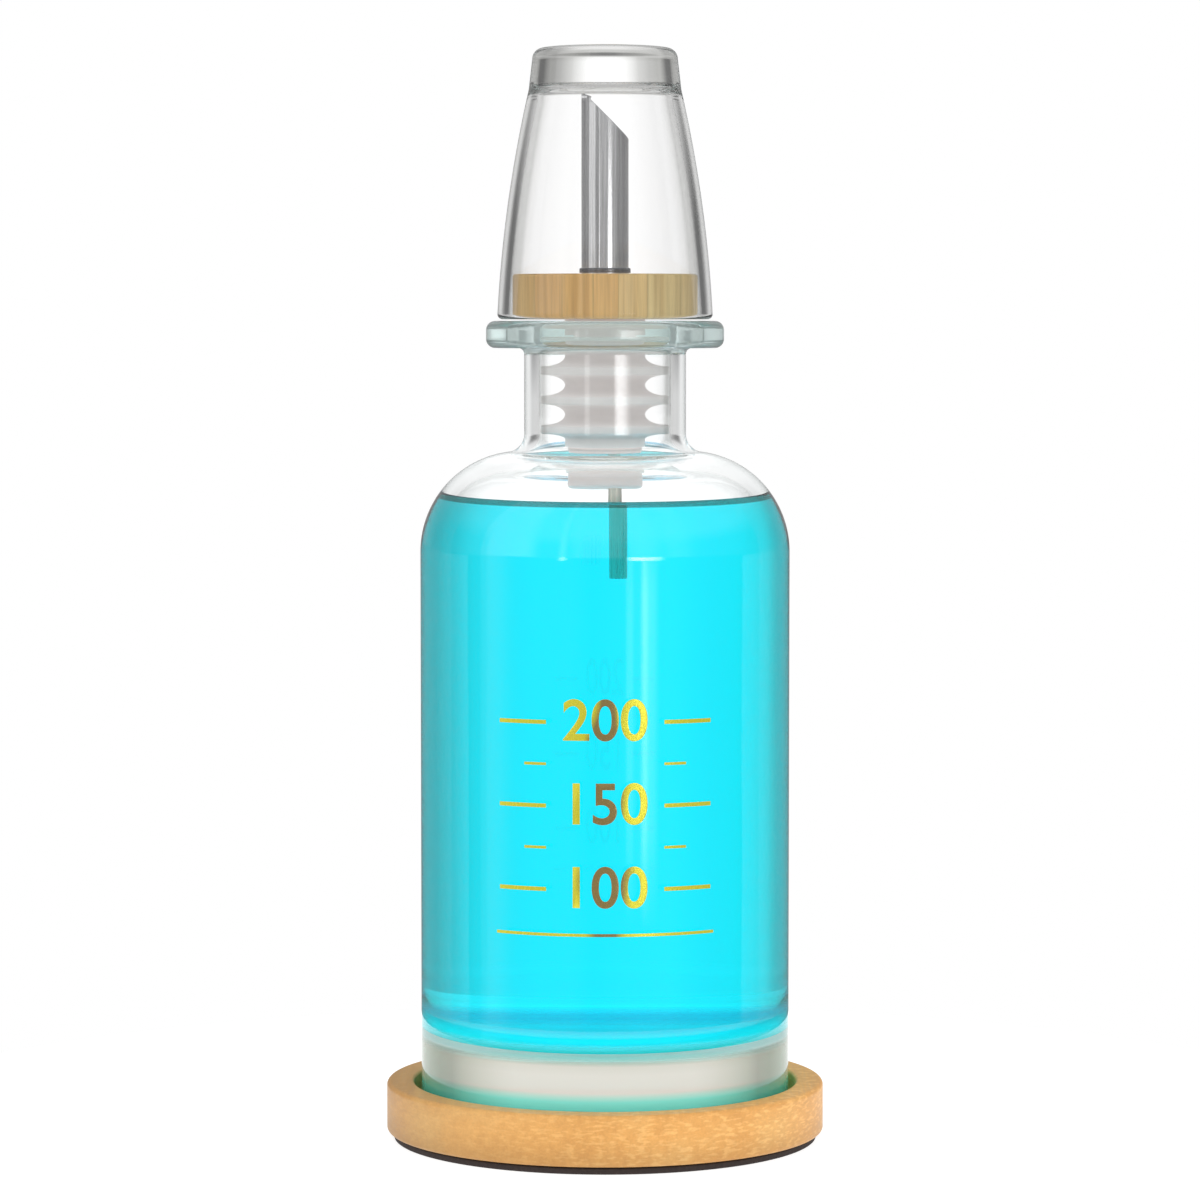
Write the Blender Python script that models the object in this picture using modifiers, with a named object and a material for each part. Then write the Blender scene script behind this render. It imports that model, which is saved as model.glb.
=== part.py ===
"""Mouthwash dispenser: a glass bottle in a bamboo tray, with a finned pourer and an upturned drinking cup.

Every piece stands on one upright axis, +Z. The origin is on the floor under the middle of the tray.
The spout's lip points to -X and the air tube lies on the +X side. Sizes are in metres.
"""

import math

import bmesh
import bpy
from mathutils import Vector

# Gap that two touching pieces keep, and how far a cutter runs past what it cuts
SEAT_GAP = 0.0003
CUT_OVERRUN = 0.002
MERGE_DISTANCE = 0.000001

# Facets round a turned piece
LARGE_STEPS = 48
MEDIUM_STEPS = 36
SMALL_STEPS = 28
TUBE_STEPS = 16

# Non-slip disc under the tray
DISC_INSET = 0.0013
DISC_THICKNESS = 0.0012
DISC_EDGE_ROUND = 0.0003

# Bamboo tray
TRAY_RIM_WIDTH = 0.0052
TRAY_HEIGHT = 0.0095
TRAY_RIM_ROUND = 0.0009
TRAY_FOOT_ROUND = 0.0007
RECESS_CLEARANCE = 0.0014
RECESS_DEPTH = 0.0050
RECESS_EDGE_ROUND = 0.0006
RECESS_FLOOR_ROUND = 0.0008

# Glass bottle
BODY_RADIUS = 0.0350
GLASS_WALL = 0.0028
BASE_THICKNESS = 0.0143
FLOOR_ROUND = 0.0045
HEEL_ROUND = 0.0030
BASE_RING_WIDTH = 0.0050
PUNT_DEPTH = 0.0010
SHOULDER_START = 0.1055
SHOULDER_ROUND = 0.0190
NECK_RADIUS = 0.0153
NECK_ROOT_ROUND = 0.0035
NECK_LENGTH = 0.0162
LIP_OVERHANG = 0.0072
LIP_THICKNESS = 0.0051
LIP_EDGE_ROUND = 0.0017
LIP_ROOT_ROUND = 0.0012
MOUTH_ROUND = 0.0008

# Mouthwash in the bottle, with a well that leaves room for the air tube as the pourer turns
FILL_RISE = 0.0088

# Finned sleeve that grips the neck
SLEEVE_WALL = 0.0014
SLEEVE_TAIL = 0.0027
FIN_COUNT = 4
FIN_PITCH = 0.00555
FIN_TIP_THICKNESS = 0.0016
FIN_EDGE_ROUND = 0.0003
FIN_ROOT_DROP = 0.00145

# Hard core through the sleeve
CORE_BOSS_WALL = 0.00285
CORE_BOSS_DROP = 0.0030
CORE_STEM_WALL = 0.00185
CORE_NOSE_LEDGE = 0.0012
CORE_NOSE_LENGTH = 0.0048
CORE_NOSE_ROUND = 0.0008
CORE_FLOOR_THICKNESS = 0.0020
CORE_EDGE_ROUND = 0.0003
INLET_MARGIN = 0.00015
INLET_BRIDGE = 0.0006

# Air tube
AIR_TUBE_RADIUS = 0.0013
AIR_TUBE_WALL = 0.0004
AIR_TUBE_CLEARANCE = 0.00085
AIR_TUBE_DIP = 0.0178
AIR_TUBE_RISE = 0.0050

# Bamboo collar on the lip, inside the cup's rim
COLLAR_HEIGHT = 0.0084
COLLAR_TOP_THICKNESS = 0.0018
COLLAR_EDGE_ROUND = 0.0004
COLLAR_CUP_CLEARANCE = 0.00035

# Steel spout, cut at a slant
SPOUT_RADIUS = 0.00445
SPOUT_WALL = 0.0004
SPOUT_CUP_CLEARANCE = 0.0010
SPOUT_SLANT = math.radians(45.5)

# Steel ferrule round the foot of the spout
FERRULE_WALL = 0.0004
FERRULE_HEIGHT = 0.0012
FERRULE_ROUND = 0.00015

# Drinking cup, upside down over the spout
CUP_HEIGHT = 0.0510
CUP_RIM_INSET = 0.0021
CUP_WAIST_RADIUS = 0.0144
CUP_STRAIGHT_SHARE = 0.35
CUP_FOOT_HEIGHT = 0.0078
CUP_FOOT_TAPER = 0.0009
CUP_FOOT_ROUND = 0.0020
CUP_FOOT_RING_WIDTH = 0.0020
CUP_WALL = 0.0020
CUP_BASE_THICKNESS = 0.0071
CUP_FLOOR_ROUND = 0.0030
CUP_DISH_DEPTH = 0.0007

# Radii that follow from what a piece fits
RECESS_RADIUS = BODY_RADIUS + RECESS_CLEARANCE
TRAY_RADIUS = RECESS_RADIUS + TRAY_RIM_WIDTH
DISC_RADIUS = TRAY_RADIUS - DISC_INSET
PUNT_RADIUS = BODY_RADIUS - HEEL_ROUND - BASE_RING_WIDTH
BORE_RADIUS = NECK_RADIUS - GLASS_WALL
FIN_RADIUS = BORE_RADIUS - SEAT_GAP
LIP_RADIUS = NECK_RADIUS + LIP_OVERHANG
SPOUT_SOCKET_RADIUS = SPOUT_RADIUS + SEAT_GAP
SPOUT_BORE_RADIUS = SPOUT_RADIUS - SPOUT_WALL
CORE_BOSS_RADIUS = SPOUT_SOCKET_RADIUS + CORE_BOSS_WALL
CORE_STEM_RADIUS = SPOUT_BORE_RADIUS + CORE_STEM_WALL
CORE_NOSE_RADIUS = CORE_STEM_RADIUS + CORE_NOSE_LEDGE
SLEEVE_BORE_RADIUS = CORE_STEM_RADIUS + SEAT_GAP
SLEEVE_STEM_RADIUS = SLEEVE_BORE_RADIUS + SLEEVE_WALL
CUP_RIM_RADIUS = LIP_RADIUS - CUP_RIM_INSET
CUP_FOOT_RADIUS = CUP_WAIST_RADIUS - CUP_FOOT_TAPER
CUP_DISH_RADIUS = CUP_FOOT_RADIUS - CUP_FOOT_ROUND - CUP_FOOT_RING_WIDTH

# The air tube lies against one side of the spout's bore, and the inlet fills the other side
AIR_TUBE_OFFSET = SPOUT_BORE_RADIUS - AIR_TUBE_RADIUS - AIR_TUBE_CLEARANCE
AIR_TUBE_HOLE_RADIUS = AIR_TUBE_RADIUS + SEAT_GAP
WELL_RADIUS = AIR_TUBE_OFFSET + AIR_TUBE_HOLE_RADIUS
INLET_FAR_SIDE = SPOUT_BORE_RADIUS - INLET_MARGIN
INLET_NEAR_SIDE = AIR_TUBE_HOLE_RADIUS + INLET_BRIDGE - AIR_TUBE_OFFSET
INLET_RADIUS = (INLET_FAR_SIDE - INLET_NEAR_SIDE) / 2
INLET_OFFSET = (INLET_FAR_SIDE + INLET_NEAR_SIDE) / 2

# Lengths that follow from what a piece fits
NECK_ROOT_REACH = SHOULDER_ROUND + NECK_ROOT_ROUND
NECK_ROOT_SHIFT = NECK_RADIUS + NECK_ROOT_ROUND - (BODY_RADIUS - SHOULDER_ROUND)
NECK_ROOT_RISE = math.sqrt(NECK_ROOT_REACH ** 2 - NECK_ROOT_SHIFT ** 2)
BOTTLE_HEIGHT = SHOULDER_START + NECK_ROOT_RISE + NECK_LENGTH + LIP_THICKNESS
FILL_HEIGHT = SHOULDER_START + FILL_RISE
SLEEVE_LENGTH = FIN_TIP_THICKNESS + FIN_PITCH * (FIN_COUNT - 1) + FIN_ROOT_DROP + SLEEVE_TAIL
CORE_BOSS_HEIGHT = COLLAR_HEIGHT - COLLAR_TOP_THICKNESS - SEAT_GAP
CUP_WAIST_HEIGHT = CUP_HEIGHT - CUP_FOOT_HEIGHT
CUP_HOLLOW_DEPTH = CUP_HEIGHT - CUP_BASE_THICKNESS

# Places along the axis that follow from the sizes
TRAY_BASE_Z = DISC_THICKNESS + SEAT_GAP
RECESS_FLOOR_Z = TRAY_BASE_Z + TRAY_HEIGHT - RECESS_DEPTH
BOTTLE_BASE_Z = RECESS_FLOOR_Z + SEAT_GAP
LIP_TOP_Z = BOTTLE_BASE_Z + BOTTLE_HEIGHT
COLLAR_BASE_Z = LIP_TOP_Z + SEAT_GAP
COLLAR_TOP_Z = COLLAR_BASE_Z + COLLAR_HEIGHT
CUP_RIM_Z = LIP_TOP_Z + SEAT_GAP
BOSS_BASE_Z = COLLAR_BASE_Z - CORE_BOSS_DROP
SLEEVE_BASE_Z = BOSS_BASE_Z - SEAT_GAP - SLEEVE_LENGTH
NOSE_TOP_Z = SLEEVE_BASE_Z - SEAT_GAP
NOSE_BASE_Z = NOSE_TOP_Z - CORE_NOSE_LENGTH
SPOUT_FOOT_Z = BOSS_BASE_Z + SEAT_GAP * 2
SPOUT_TIP_Z = CUP_RIM_Z + CUP_HOLLOW_DEPTH - SPOUT_CUP_CLEARANCE


def clear_scene():
    """Removes whatever the scene holds."""
    for obj in list(bpy.data.objects):
        bpy.data.objects.remove(obj, do_unlink=True)


def make_collection(name):
    """A new collection linked to the scene."""
    collection = bpy.data.collections.new(name)
    bpy.context.scene.collection.children.link(collection)
    return collection


def make_material(name, colour, roughness, metallic=0.0, transmission=0.0, ior=1.45):
    """A Principled material of one finish."""
    material = bpy.data.materials.new(name)
    material.use_nodes = True
    shader = material.node_tree.nodes["Principled BSDF"]
    shader.inputs["Base Color"].default_value = (*colour, 1.0)
    shader.inputs["Roughness"].default_value = roughness
    shader.inputs["Metallic"].default_value = metallic
    shader.inputs["Transmission Weight"].default_value = transmission
    shader.inputs["IOR"].default_value = ior
    return material


def bamboo(name, colour):
    """Oiled bamboo with a soft sheen."""
    return make_material(name, colour, roughness=0.45)


def clear_glass(name, colour):
    """Clear polished glass."""
    return make_material(name, colour, roughness=0.02, transmission=1.0, ior=1.5)


def liquid(name, colour):
    """Dyed water."""
    return make_material(name, colour, roughness=0.02, transmission=0.9, ior=1.34)


def milky(name, colour, roughness):
    """Translucent silicone or plastic."""
    return make_material(name, colour, roughness, transmission=0.3)


def steel(name, colour, roughness):
    """Bare stainless steel."""
    return make_material(name, colour, roughness, metallic=1.0)


def rubber(name, colour):
    """Matt dark rubber."""
    return make_material(name, colour, roughness=0.9)


def arc(centre, radius, start, end, count):
    """Points of an arc in the profile plane; angles are in degrees, from the outward direction."""
    angles = [math.radians(start + (end - start) * i / count) for i in range(count + 1)]
    return [(centre[0] + radius * math.cos(a), centre[1] + radius * math.sin(a)) for a in angles]


def rounded(corners, count):
    """A profile through corners (r, z, fillet radius), with each fillet drawn as an arc."""
    points = []
    last = len(corners) - 1
    for i, (r, z, fillet) in enumerate(corners):
        here = Vector((r, z))
        if fillet == 0 or i in (0, last):
            points.append((r, z))
            continue
        before = (Vector(corners[i - 1][:2]) - here).normalized()
        after = (Vector(corners[i + 1][:2]) - here).normalized()
        half = before.angle(after) / 2
        centre = here + (before + after).normalized() * (fillet / math.sin(half))
        first = here + before * (fillet / math.tan(half)) - centre
        final = here + after * (fillet / math.tan(half)) - centre
        turn = first.angle_signed(final)
        for step in range(count + 1):
            angle = -turn * step / count
            spoke = Vector((
                first.x * math.cos(angle) - first.y * math.sin(angle),
                first.x * math.sin(angle) + first.y * math.cos(angle),
            ))
            points.append(tuple(centre + spoke))
    return points


def rounded_ring(corners, count):
    """A closed profile of rounded corners, for a ring that doesn't reach the axis."""
    return rounded([corners[-1], *corners, corners[0]], count)[1:-1]


def turned(name, profile, steps, material, collection, closed=False):
    """A piece turned about +Z from its profile of (r, z) points."""
    mesh = bpy.data.meshes.new(name)
    edges = [(i, i + 1) for i in range(len(profile) - 1)]
    if closed:
        edges.append((len(profile) - 1, 0))
    mesh.from_pydata([(r, 0.0, z) for r, z in profile], edges, [])
    obj = bpy.data.objects.new(name, mesh)
    collection.objects.link(obj)
    screw = obj.modifiers.new("Turn", "SCREW")
    screw.axis = "Z"
    screw.angle = math.tau
    screw.steps = steps
    screw.render_steps = steps
    screw.use_merge_vertices = True
    screw.merge_threshold = MERGE_DISTANCE
    screw.use_smooth_shade = True
    obj.data.materials.append(material)
    return obj


def make_cutter(name, owner, collection):
    """An empty mesh object for a cutter, which is never shown and moves with the piece it cuts."""
    cutter = bpy.data.objects.new(name, bpy.data.meshes.new(name))
    collection.objects.link(cutter)
    cutter.parent = owner
    cutter.hide_render = True
    cutter.display_type = "WIRE"
    return cutter


def cut(obj, cutter):
    """Takes the cutter out of the object."""
    boolean = obj.modifiers.new(cutter.name, "BOOLEAN")
    boolean.operation = "DIFFERENCE"
    boolean.solver = "EXACT"
    boolean.object = cutter


def drill(obj, name, radius, offset, bottom, top, collection):
    """Cuts an upright hole through the object, at an offset along X from its axis."""
    drill_bit = make_cutter(name, obj, collection)
    depth = top - bottom + CUT_OVERRUN * 2
    shape = bmesh.new()
    bmesh.ops.create_cone(
        shape, cap_ends=True, segments=TUBE_STEPS, radius1=radius, radius2=radius, depth=depth
    )
    shape.to_mesh(drill_bit.data)
    shape.free()
    drill_bit.location = (offset, 0.0, (top + bottom) / 2)
    cut(obj, drill_bit)


def height_of(obj):
    """Height of an object's origin above the floor."""
    above = height_of(obj.parent) if obj.parent else 0.0
    return obj.location.z + above


def place(obj, height, parent, offset=0.0):
    """Hangs a piece on its joint's empty, at a height above the floor."""
    obj.location = (offset, 0.0, height - height_of(parent))
    obj.parent = parent


def make_joint(name, height, parent, collection):
    """An empty on a joint's axis, at the height where the moving piece is seated."""
    empty = bpy.data.objects.new(name, None)
    collection.objects.link(empty)
    if parent:
        place(empty, height, parent)
    else:
        empty.location.z = height
    return empty


def make_disc(collection):
    """Thin dark disc that the tray stands on."""
    profile = rounded([
        (0.0, DISC_THICKNESS, 0.0),
        (DISC_RADIUS, DISC_THICKNESS, DISC_EDGE_ROUND),
        (DISC_RADIUS, 0.0, DISC_EDGE_ROUND),
        (0.0, 0.0, 0.0),
    ], count=1)
    material = rubber("dark_rubber", (0.035, 0.025, 0.022))
    return turned("non_slip_disc", profile, LARGE_STEPS, material, collection)


def make_tray(collection):
    """Round bamboo tray with a recess that takes the bottle's base."""
    floor = TRAY_HEIGHT - RECESS_DEPTH
    profile = rounded([
        (0.0, floor, 0.0),
        (RECESS_RADIUS, floor, RECESS_FLOOR_ROUND),
        (RECESS_RADIUS, TRAY_HEIGHT, RECESS_EDGE_ROUND),
        (TRAY_RADIUS, TRAY_HEIGHT, TRAY_RIM_ROUND),
        (TRAY_RADIUS, 0.0, TRAY_FOOT_ROUND),
        (0.0, 0.0, 0.0),
    ], count=2)
    material = bamboo("tray_bamboo", (0.76, 0.44, 0.17))
    return turned("bamboo_tray", profile, LARGE_STEPS, material, collection)


def shoulder_arcs():
    """Centres of the shoulder's arc and of the neck root's arc, and the slope where they meet."""
    shoulder = (BODY_RADIUS - SHOULDER_ROUND, SHOULDER_START)
    root = (shoulder[0] + NECK_ROOT_SHIFT, SHOULDER_START + NECK_ROOT_RISE)
    slope = math.degrees(math.atan2(NECK_ROOT_RISE, NECK_ROOT_SHIFT))
    return shoulder, root, slope


def floor_corner():
    """Centre of the arc that rounds the bottle's floor into its wall."""
    return (BODY_RADIUS - GLASS_WALL - FLOOR_ROUND, BASE_THICKNESS + FLOOR_ROUND)


def make_bottle(collection):
    """Thick-based bottle with a round shoulder, a straight neck and a wide flat lip."""
    shoulder, root, slope = shoulder_arcs()
    inside = [
        *arc(floor_corner(), FLOOR_ROUND, -90.0, 0.0, 4),
        *arc(shoulder, SHOULDER_ROUND - GLASS_WALL, 0.0, slope, 7),
        *arc(root, NECK_ROOT_ROUND + GLASS_WALL, 180.0 + slope, 180.0, 3)[1:],
    ]
    mouth = rounded([
        (BORE_RADIUS, root[1], 0.0),
        (BORE_RADIUS, BOTTLE_HEIGHT, MOUTH_ROUND),
        (LIP_RADIUS, BOTTLE_HEIGHT, LIP_EDGE_ROUND),
        (LIP_RADIUS, BOTTLE_HEIGHT - LIP_THICKNESS, LIP_EDGE_ROUND),
        (NECK_RADIUS, BOTTLE_HEIGHT - LIP_THICKNESS, LIP_ROOT_ROUND),
        (NECK_RADIUS, root[1], 0.0),
    ], count=3)
    base = rounded([
        (BODY_RADIUS, shoulder[1], 0.0),
        (BODY_RADIUS, 0.0, HEEL_ROUND),
        (PUNT_RADIUS, 0.0, 0.0),
        (PUNT_RADIUS - PUNT_DEPTH, PUNT_DEPTH, 0.0),
        (0.0, PUNT_DEPTH, 0.0),
    ], count=3)
    profile = [
        (0.0, BASE_THICKNESS),
        *inside,
        *mouth[1:],
        *arc(root, NECK_ROOT_ROUND, 180.0, 180.0 + slope, 3)[1:],
        *arc(shoulder, SHOULDER_ROUND, slope, 0.0, 8)[1:],
        *base[1:],
    ]
    material = clear_glass("bottle_glass", (0.93, 0.98, 0.97))
    return turned("glass_bottle", profile, LARGE_STEPS, material, collection)


def make_fill(collection):
    """The mouthwash as a solid that keeps clear of the glass and of the turning air tube."""
    shoulder, _, _ = shoulder_arcs()
    well_floor = NOSE_BASE_Z - AIR_TUBE_DIP - SEAT_GAP - BOTTLE_BASE_Z
    arc_radius = SHOULDER_ROUND - GLASS_WALL - SEAT_GAP
    top = math.degrees(math.asin((FILL_HEIGHT - shoulder[1]) / arc_radius))
    profile = [
        (0.0, well_floor),
        (WELL_RADIUS, well_floor),
        (WELL_RADIUS, FILL_HEIGHT),
        *arc(shoulder, arc_radius, top, 0.0, 3),
        *arc(floor_corner(), FLOOR_ROUND - SEAT_GAP, 0.0, -90.0, 3),
        (0.0, BASE_THICKNESS + SEAT_GAP),
    ]
    material = liquid("mouthwash", (0.03, 0.78, 0.95))
    return turned("mouthwash", profile, LARGE_STEPS, material, collection)


def fin_groove(top, half, sweep, count):
    """Round groove under a fin, from its tip to the stem and, over a half turn, out to the next tip."""
    depth = FIN_RADIUS - SLEEVE_STEM_RADIUS
    angles = [sweep * i / count for i in range(count + 1)]
    return [(FIN_RADIUS - depth * math.sin(a), top - half * (1 - math.cos(a))) for a in angles]


def make_sleeve(collection):
    """Soft sleeve with round-rooted fins that grip the neck. Its own zero is its lower end."""
    half_groove = (FIN_PITCH - FIN_TIP_THICKNESS) / 2
    underside = SLEEVE_LENGTH - FIN_TIP_THICKNESS
    profile = [
        (SLEEVE_BORE_RADIUS, 0.0),
        (SLEEVE_BORE_RADIUS, SLEEVE_LENGTH),
        (FIN_RADIUS - FIN_EDGE_ROUND, SLEEVE_LENGTH),
        (FIN_RADIUS, SLEEVE_LENGTH - FIN_EDGE_ROUND),
    ]
    for _ in range(FIN_COUNT - 1):
        profile += fin_groove(underside, half_groove, math.pi, 6)
        underside -= FIN_PITCH
    profile += fin_groove(underside, FIN_ROOT_DROP, math.pi / 2, 3)
    profile += [(SLEEVE_STEM_RADIUS, 0.0)]
    material = milky("sleeve_silicone", (0.86, 0.86, 0.84), roughness=0.4)
    return turned("fin_sleeve", profile, MEDIUM_STEPS, material, collection, closed=True)


def make_core(collection, cutters):
    """Hard core: a boss in the collar, a stem through the sleeve, and a nose with a drilled floor.

    Its own zero is the nose's underside.
    """
    floor = CORE_FLOOR_THICKNESS
    nose_top = NOSE_TOP_Z - NOSE_BASE_Z
    boss_base = BOSS_BASE_Z - NOSE_BASE_Z
    boss_top = COLLAR_BASE_Z + CORE_BOSS_HEIGHT - NOSE_BASE_Z
    ledge = SPOUT_FOOT_Z - SEAT_GAP - NOSE_BASE_Z
    profile = rounded([
        (0.0, floor, 0.0),
        (SPOUT_BORE_RADIUS, floor, 0.0),
        (SPOUT_BORE_RADIUS, ledge, 0.0),
        (SPOUT_SOCKET_RADIUS, ledge, 0.0),
        (SPOUT_SOCKET_RADIUS, boss_top, 0.0),
        (CORE_BOSS_RADIUS, boss_top, CORE_EDGE_ROUND),
        (CORE_BOSS_RADIUS, boss_base, 0.0),
        (CORE_STEM_RADIUS, boss_base, 0.0),
        (CORE_STEM_RADIUS, nose_top, 0.0),
        (CORE_NOSE_RADIUS, nose_top, CORE_EDGE_ROUND),
        (CORE_NOSE_RADIUS, 0.0, CORE_NOSE_ROUND),
        (0.0, 0.0, 0.0),
    ], count=2)
    material = milky("core_plastic", (0.80, 0.80, 0.78), roughness=0.35)
    core = turned("stopper_core", profile, MEDIUM_STEPS, material, collection)
    drill(core, "air_tube_hole", AIR_TUBE_HOLE_RADIUS, AIR_TUBE_OFFSET, 0.0, floor, cutters)
    drill(core, "inlet_hole", INLET_RADIUS, -INLET_OFFSET, 0.0, floor, cutters)
    return core


def make_air_tube(collection):
    """Thin steel tube that lets air into the bottle while it pours. Its own zero is its lower end."""
    inner = AIR_TUBE_RADIUS - AIR_TUBE_WALL
    top = SPOUT_FOOT_Z + AIR_TUBE_RISE - (NOSE_BASE_Z - AIR_TUBE_DIP)
    profile = [(AIR_TUBE_RADIUS, top), (AIR_TUBE_RADIUS, 0.0), (inner, 0.0), (inner, top)]
    material = steel("tube_steel", (0.52, 0.47, 0.38), roughness=0.3)
    return turned("air_tube", profile, TUBE_STEPS, material, collection, closed=True)


def cup_radius(height):
    """Outside radius of the cup's wall at a height over its rim: part cone, part parabola."""
    rise = height / CUP_WAIST_HEIGHT
    fall = CUP_STRAIGHT_SHARE * rise + (1 - CUP_STRAIGHT_SHARE) * rise ** 2
    return CUP_RIM_RADIUS - (CUP_RIM_RADIUS - CUP_WAIST_RADIUS) * fall


def make_collar(collection):
    """Bamboo ring on the core's boss, which centres the cup. Its own zero is its underside."""
    radius = cup_radius(COLLAR_HEIGHT) - CUP_WALL - COLLAR_CUP_CLEARANCE
    pocket_radius = CORE_BOSS_RADIUS + SEAT_GAP
    pocket_top = CORE_BOSS_HEIGHT + SEAT_GAP
    profile = rounded_ring([
        (SPOUT_SOCKET_RADIUS, COLLAR_HEIGHT, 0.0),
        (radius, COLLAR_HEIGHT, COLLAR_EDGE_ROUND),
        (radius, 0.0, COLLAR_EDGE_ROUND),
        (pocket_radius, 0.0, 0.0),
        (pocket_radius, pocket_top, 0.0),
        (SPOUT_SOCKET_RADIUS, pocket_top, 0.0),
    ], count=2)
    material = bamboo("collar_bamboo", (0.68, 0.42, 0.19))
    return turned("bamboo_collar", profile, MEDIUM_STEPS, material, collection, closed=True)


def make_spout(collection, cutters):
    """Steel tube pressed into the core, with its mouth cut at a slant and the lip at -X.

    Its own zero is its lower end.
    """
    tip = SPOUT_TIP_Z - SPOUT_FOOT_Z
    blank = tip + CUT_OVERRUN
    profile = [
        (SPOUT_RADIUS, blank),
        (SPOUT_RADIUS, 0.0),
        (SPOUT_BORE_RADIUS, 0.0),
        (SPOUT_BORE_RADIUS, blank),
    ]
    material = steel("spout_steel", (0.62, 0.62, 0.62), roughness=0.22)
    spout = turned("pour_spout", profile, SMALL_STEPS, material, collection, closed=True)
    blade = make_cutter("spout_slant", spout, cutters)
    side = (SPOUT_RADIUS + CUT_OVERRUN) * 4
    shape = bmesh.new()
    bmesh.ops.create_cube(shape, size=side)
    bmesh.ops.translate(shape, verts=shape.verts, vec=(0.0, 0.0, side / 2))
    shape.to_mesh(blade.data)
    shape.free()
    blade.location.z = tip - SPOUT_RADIUS * math.tan(SPOUT_SLANT)
    blade.rotation_euler.y = SPOUT_SLANT
    cut(spout, blade)
    return spout


def make_ferrule(collection):
    """Steel ring that covers the joint between the spout and the collar. Its own zero is its underside."""
    outer = SPOUT_SOCKET_RADIUS + FERRULE_WALL
    profile = rounded_ring([
        (SPOUT_SOCKET_RADIUS, FERRULE_HEIGHT, 0.0),
        (outer, FERRULE_HEIGHT, FERRULE_ROUND),
        (outer, 0.0, 0.0),
        (SPOUT_SOCKET_RADIUS, 0.0, 0.0),
    ], count=2)
    material = steel("ferrule_steel", (0.30, 0.30, 0.31), roughness=0.3)
    return turned("spout_ferrule", profile, SMALL_STEPS, material, collection, closed=True)


def make_cup(collection):
    """Small thick-footed glass, upside down, whose rim stands on the bottle's lip.

    Its own zero is the plane of the rim.
    """
    ceiling = CUP_HOLLOW_DEPTH - CUP_FLOOR_ROUND
    heights = [CUP_WALL / 2 + (CUP_WAIST_HEIGHT - CUP_WALL / 2) * i / 8 for i in range(9)]
    outside = [(cup_radius(h), h) for h in reversed(heights)]
    inside = [(cup_radius(h) - CUP_WALL, h) for h in heights if h < ceiling]
    foot = rounded([
        (0.0, CUP_HEIGHT - CUP_DISH_DEPTH, 0.0),
        (CUP_DISH_RADIUS - CUP_DISH_DEPTH, CUP_HEIGHT - CUP_DISH_DEPTH, 0.0),
        (CUP_DISH_RADIUS, CUP_HEIGHT, 0.0),
        (CUP_FOOT_RADIUS, CUP_HEIGHT, CUP_FOOT_ROUND),
        (CUP_WAIST_RADIUS, CUP_WAIST_HEIGHT, 0.0),
    ], count=3)
    rim = arc((outside[-1][0] - CUP_WALL / 2, CUP_WALL / 2), CUP_WALL / 2, 0.0, -180.0, 4)
    corner_r = cup_radius(ceiling) - CUP_WALL - CUP_FLOOR_ROUND
    corner = arc((corner_r, ceiling), CUP_FLOOR_ROUND, 0.0, 90.0, 4)
    profile = [*foot, *outside[1:], *rim[1:-1], *inside, *corner, (0.0, CUP_HOLLOW_DEPTH)]
    material = clear_glass("cup_glass", (0.98, 0.98, 0.98))
    return turned("drinking_cup", profile, MEDIUM_STEPS, material, collection)


def main():
    clear_scene()
    parts = make_collection("mouthwash_dispenser")
    cutters = make_collection("cutters")

    tray_base = make_joint("tray_base", 0.0, None, parts)
    bottle_lift = make_joint("bottle_lift", BOTTLE_BASE_Z, tray_base, parts)
    stopper_pull = make_joint("stopper_pull", LIP_TOP_Z, bottle_lift, parts)
    spout_turn = make_joint("spout_turn", COLLAR_BASE_Z, stopper_pull, parts)
    cup_lift = make_joint("cup_lift", CUP_RIM_Z, spout_turn, parts)

    place(make_disc(parts), 0.0, tray_base)
    place(make_tray(parts), TRAY_BASE_Z, tray_base)
    place(make_bottle(parts), BOTTLE_BASE_Z, bottle_lift)
    place(make_fill(parts), BOTTLE_BASE_Z, bottle_lift)
    place(make_sleeve(parts), SLEEVE_BASE_Z, stopper_pull)
    place(make_core(parts, cutters), NOSE_BASE_Z, spout_turn)
    place(make_air_tube(parts), NOSE_BASE_Z - AIR_TUBE_DIP, spout_turn, AIR_TUBE_OFFSET)
    place(make_collar(parts), COLLAR_BASE_Z, spout_turn)
    place(make_spout(parts, cutters), SPOUT_FOOT_Z, spout_turn)
    place(make_ferrule(parts), COLLAR_TOP_Z + SEAT_GAP, spout_turn)
    place(make_cup(parts), CUP_RIM_Z, cup_lift)


main()
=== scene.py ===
"""Looks of the mouthwash dispenser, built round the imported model.

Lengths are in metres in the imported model's frame: +Z is up, the front is -Y and the spout's lip points to -X.
Each sub-assembly is a class that turns its pieces from profiles, dresses them and seats them on their bodies.
"""

import logging
import math
from collections.abc import Callable, Iterable
from dataclasses import dataclass
from enum import Enum

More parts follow.
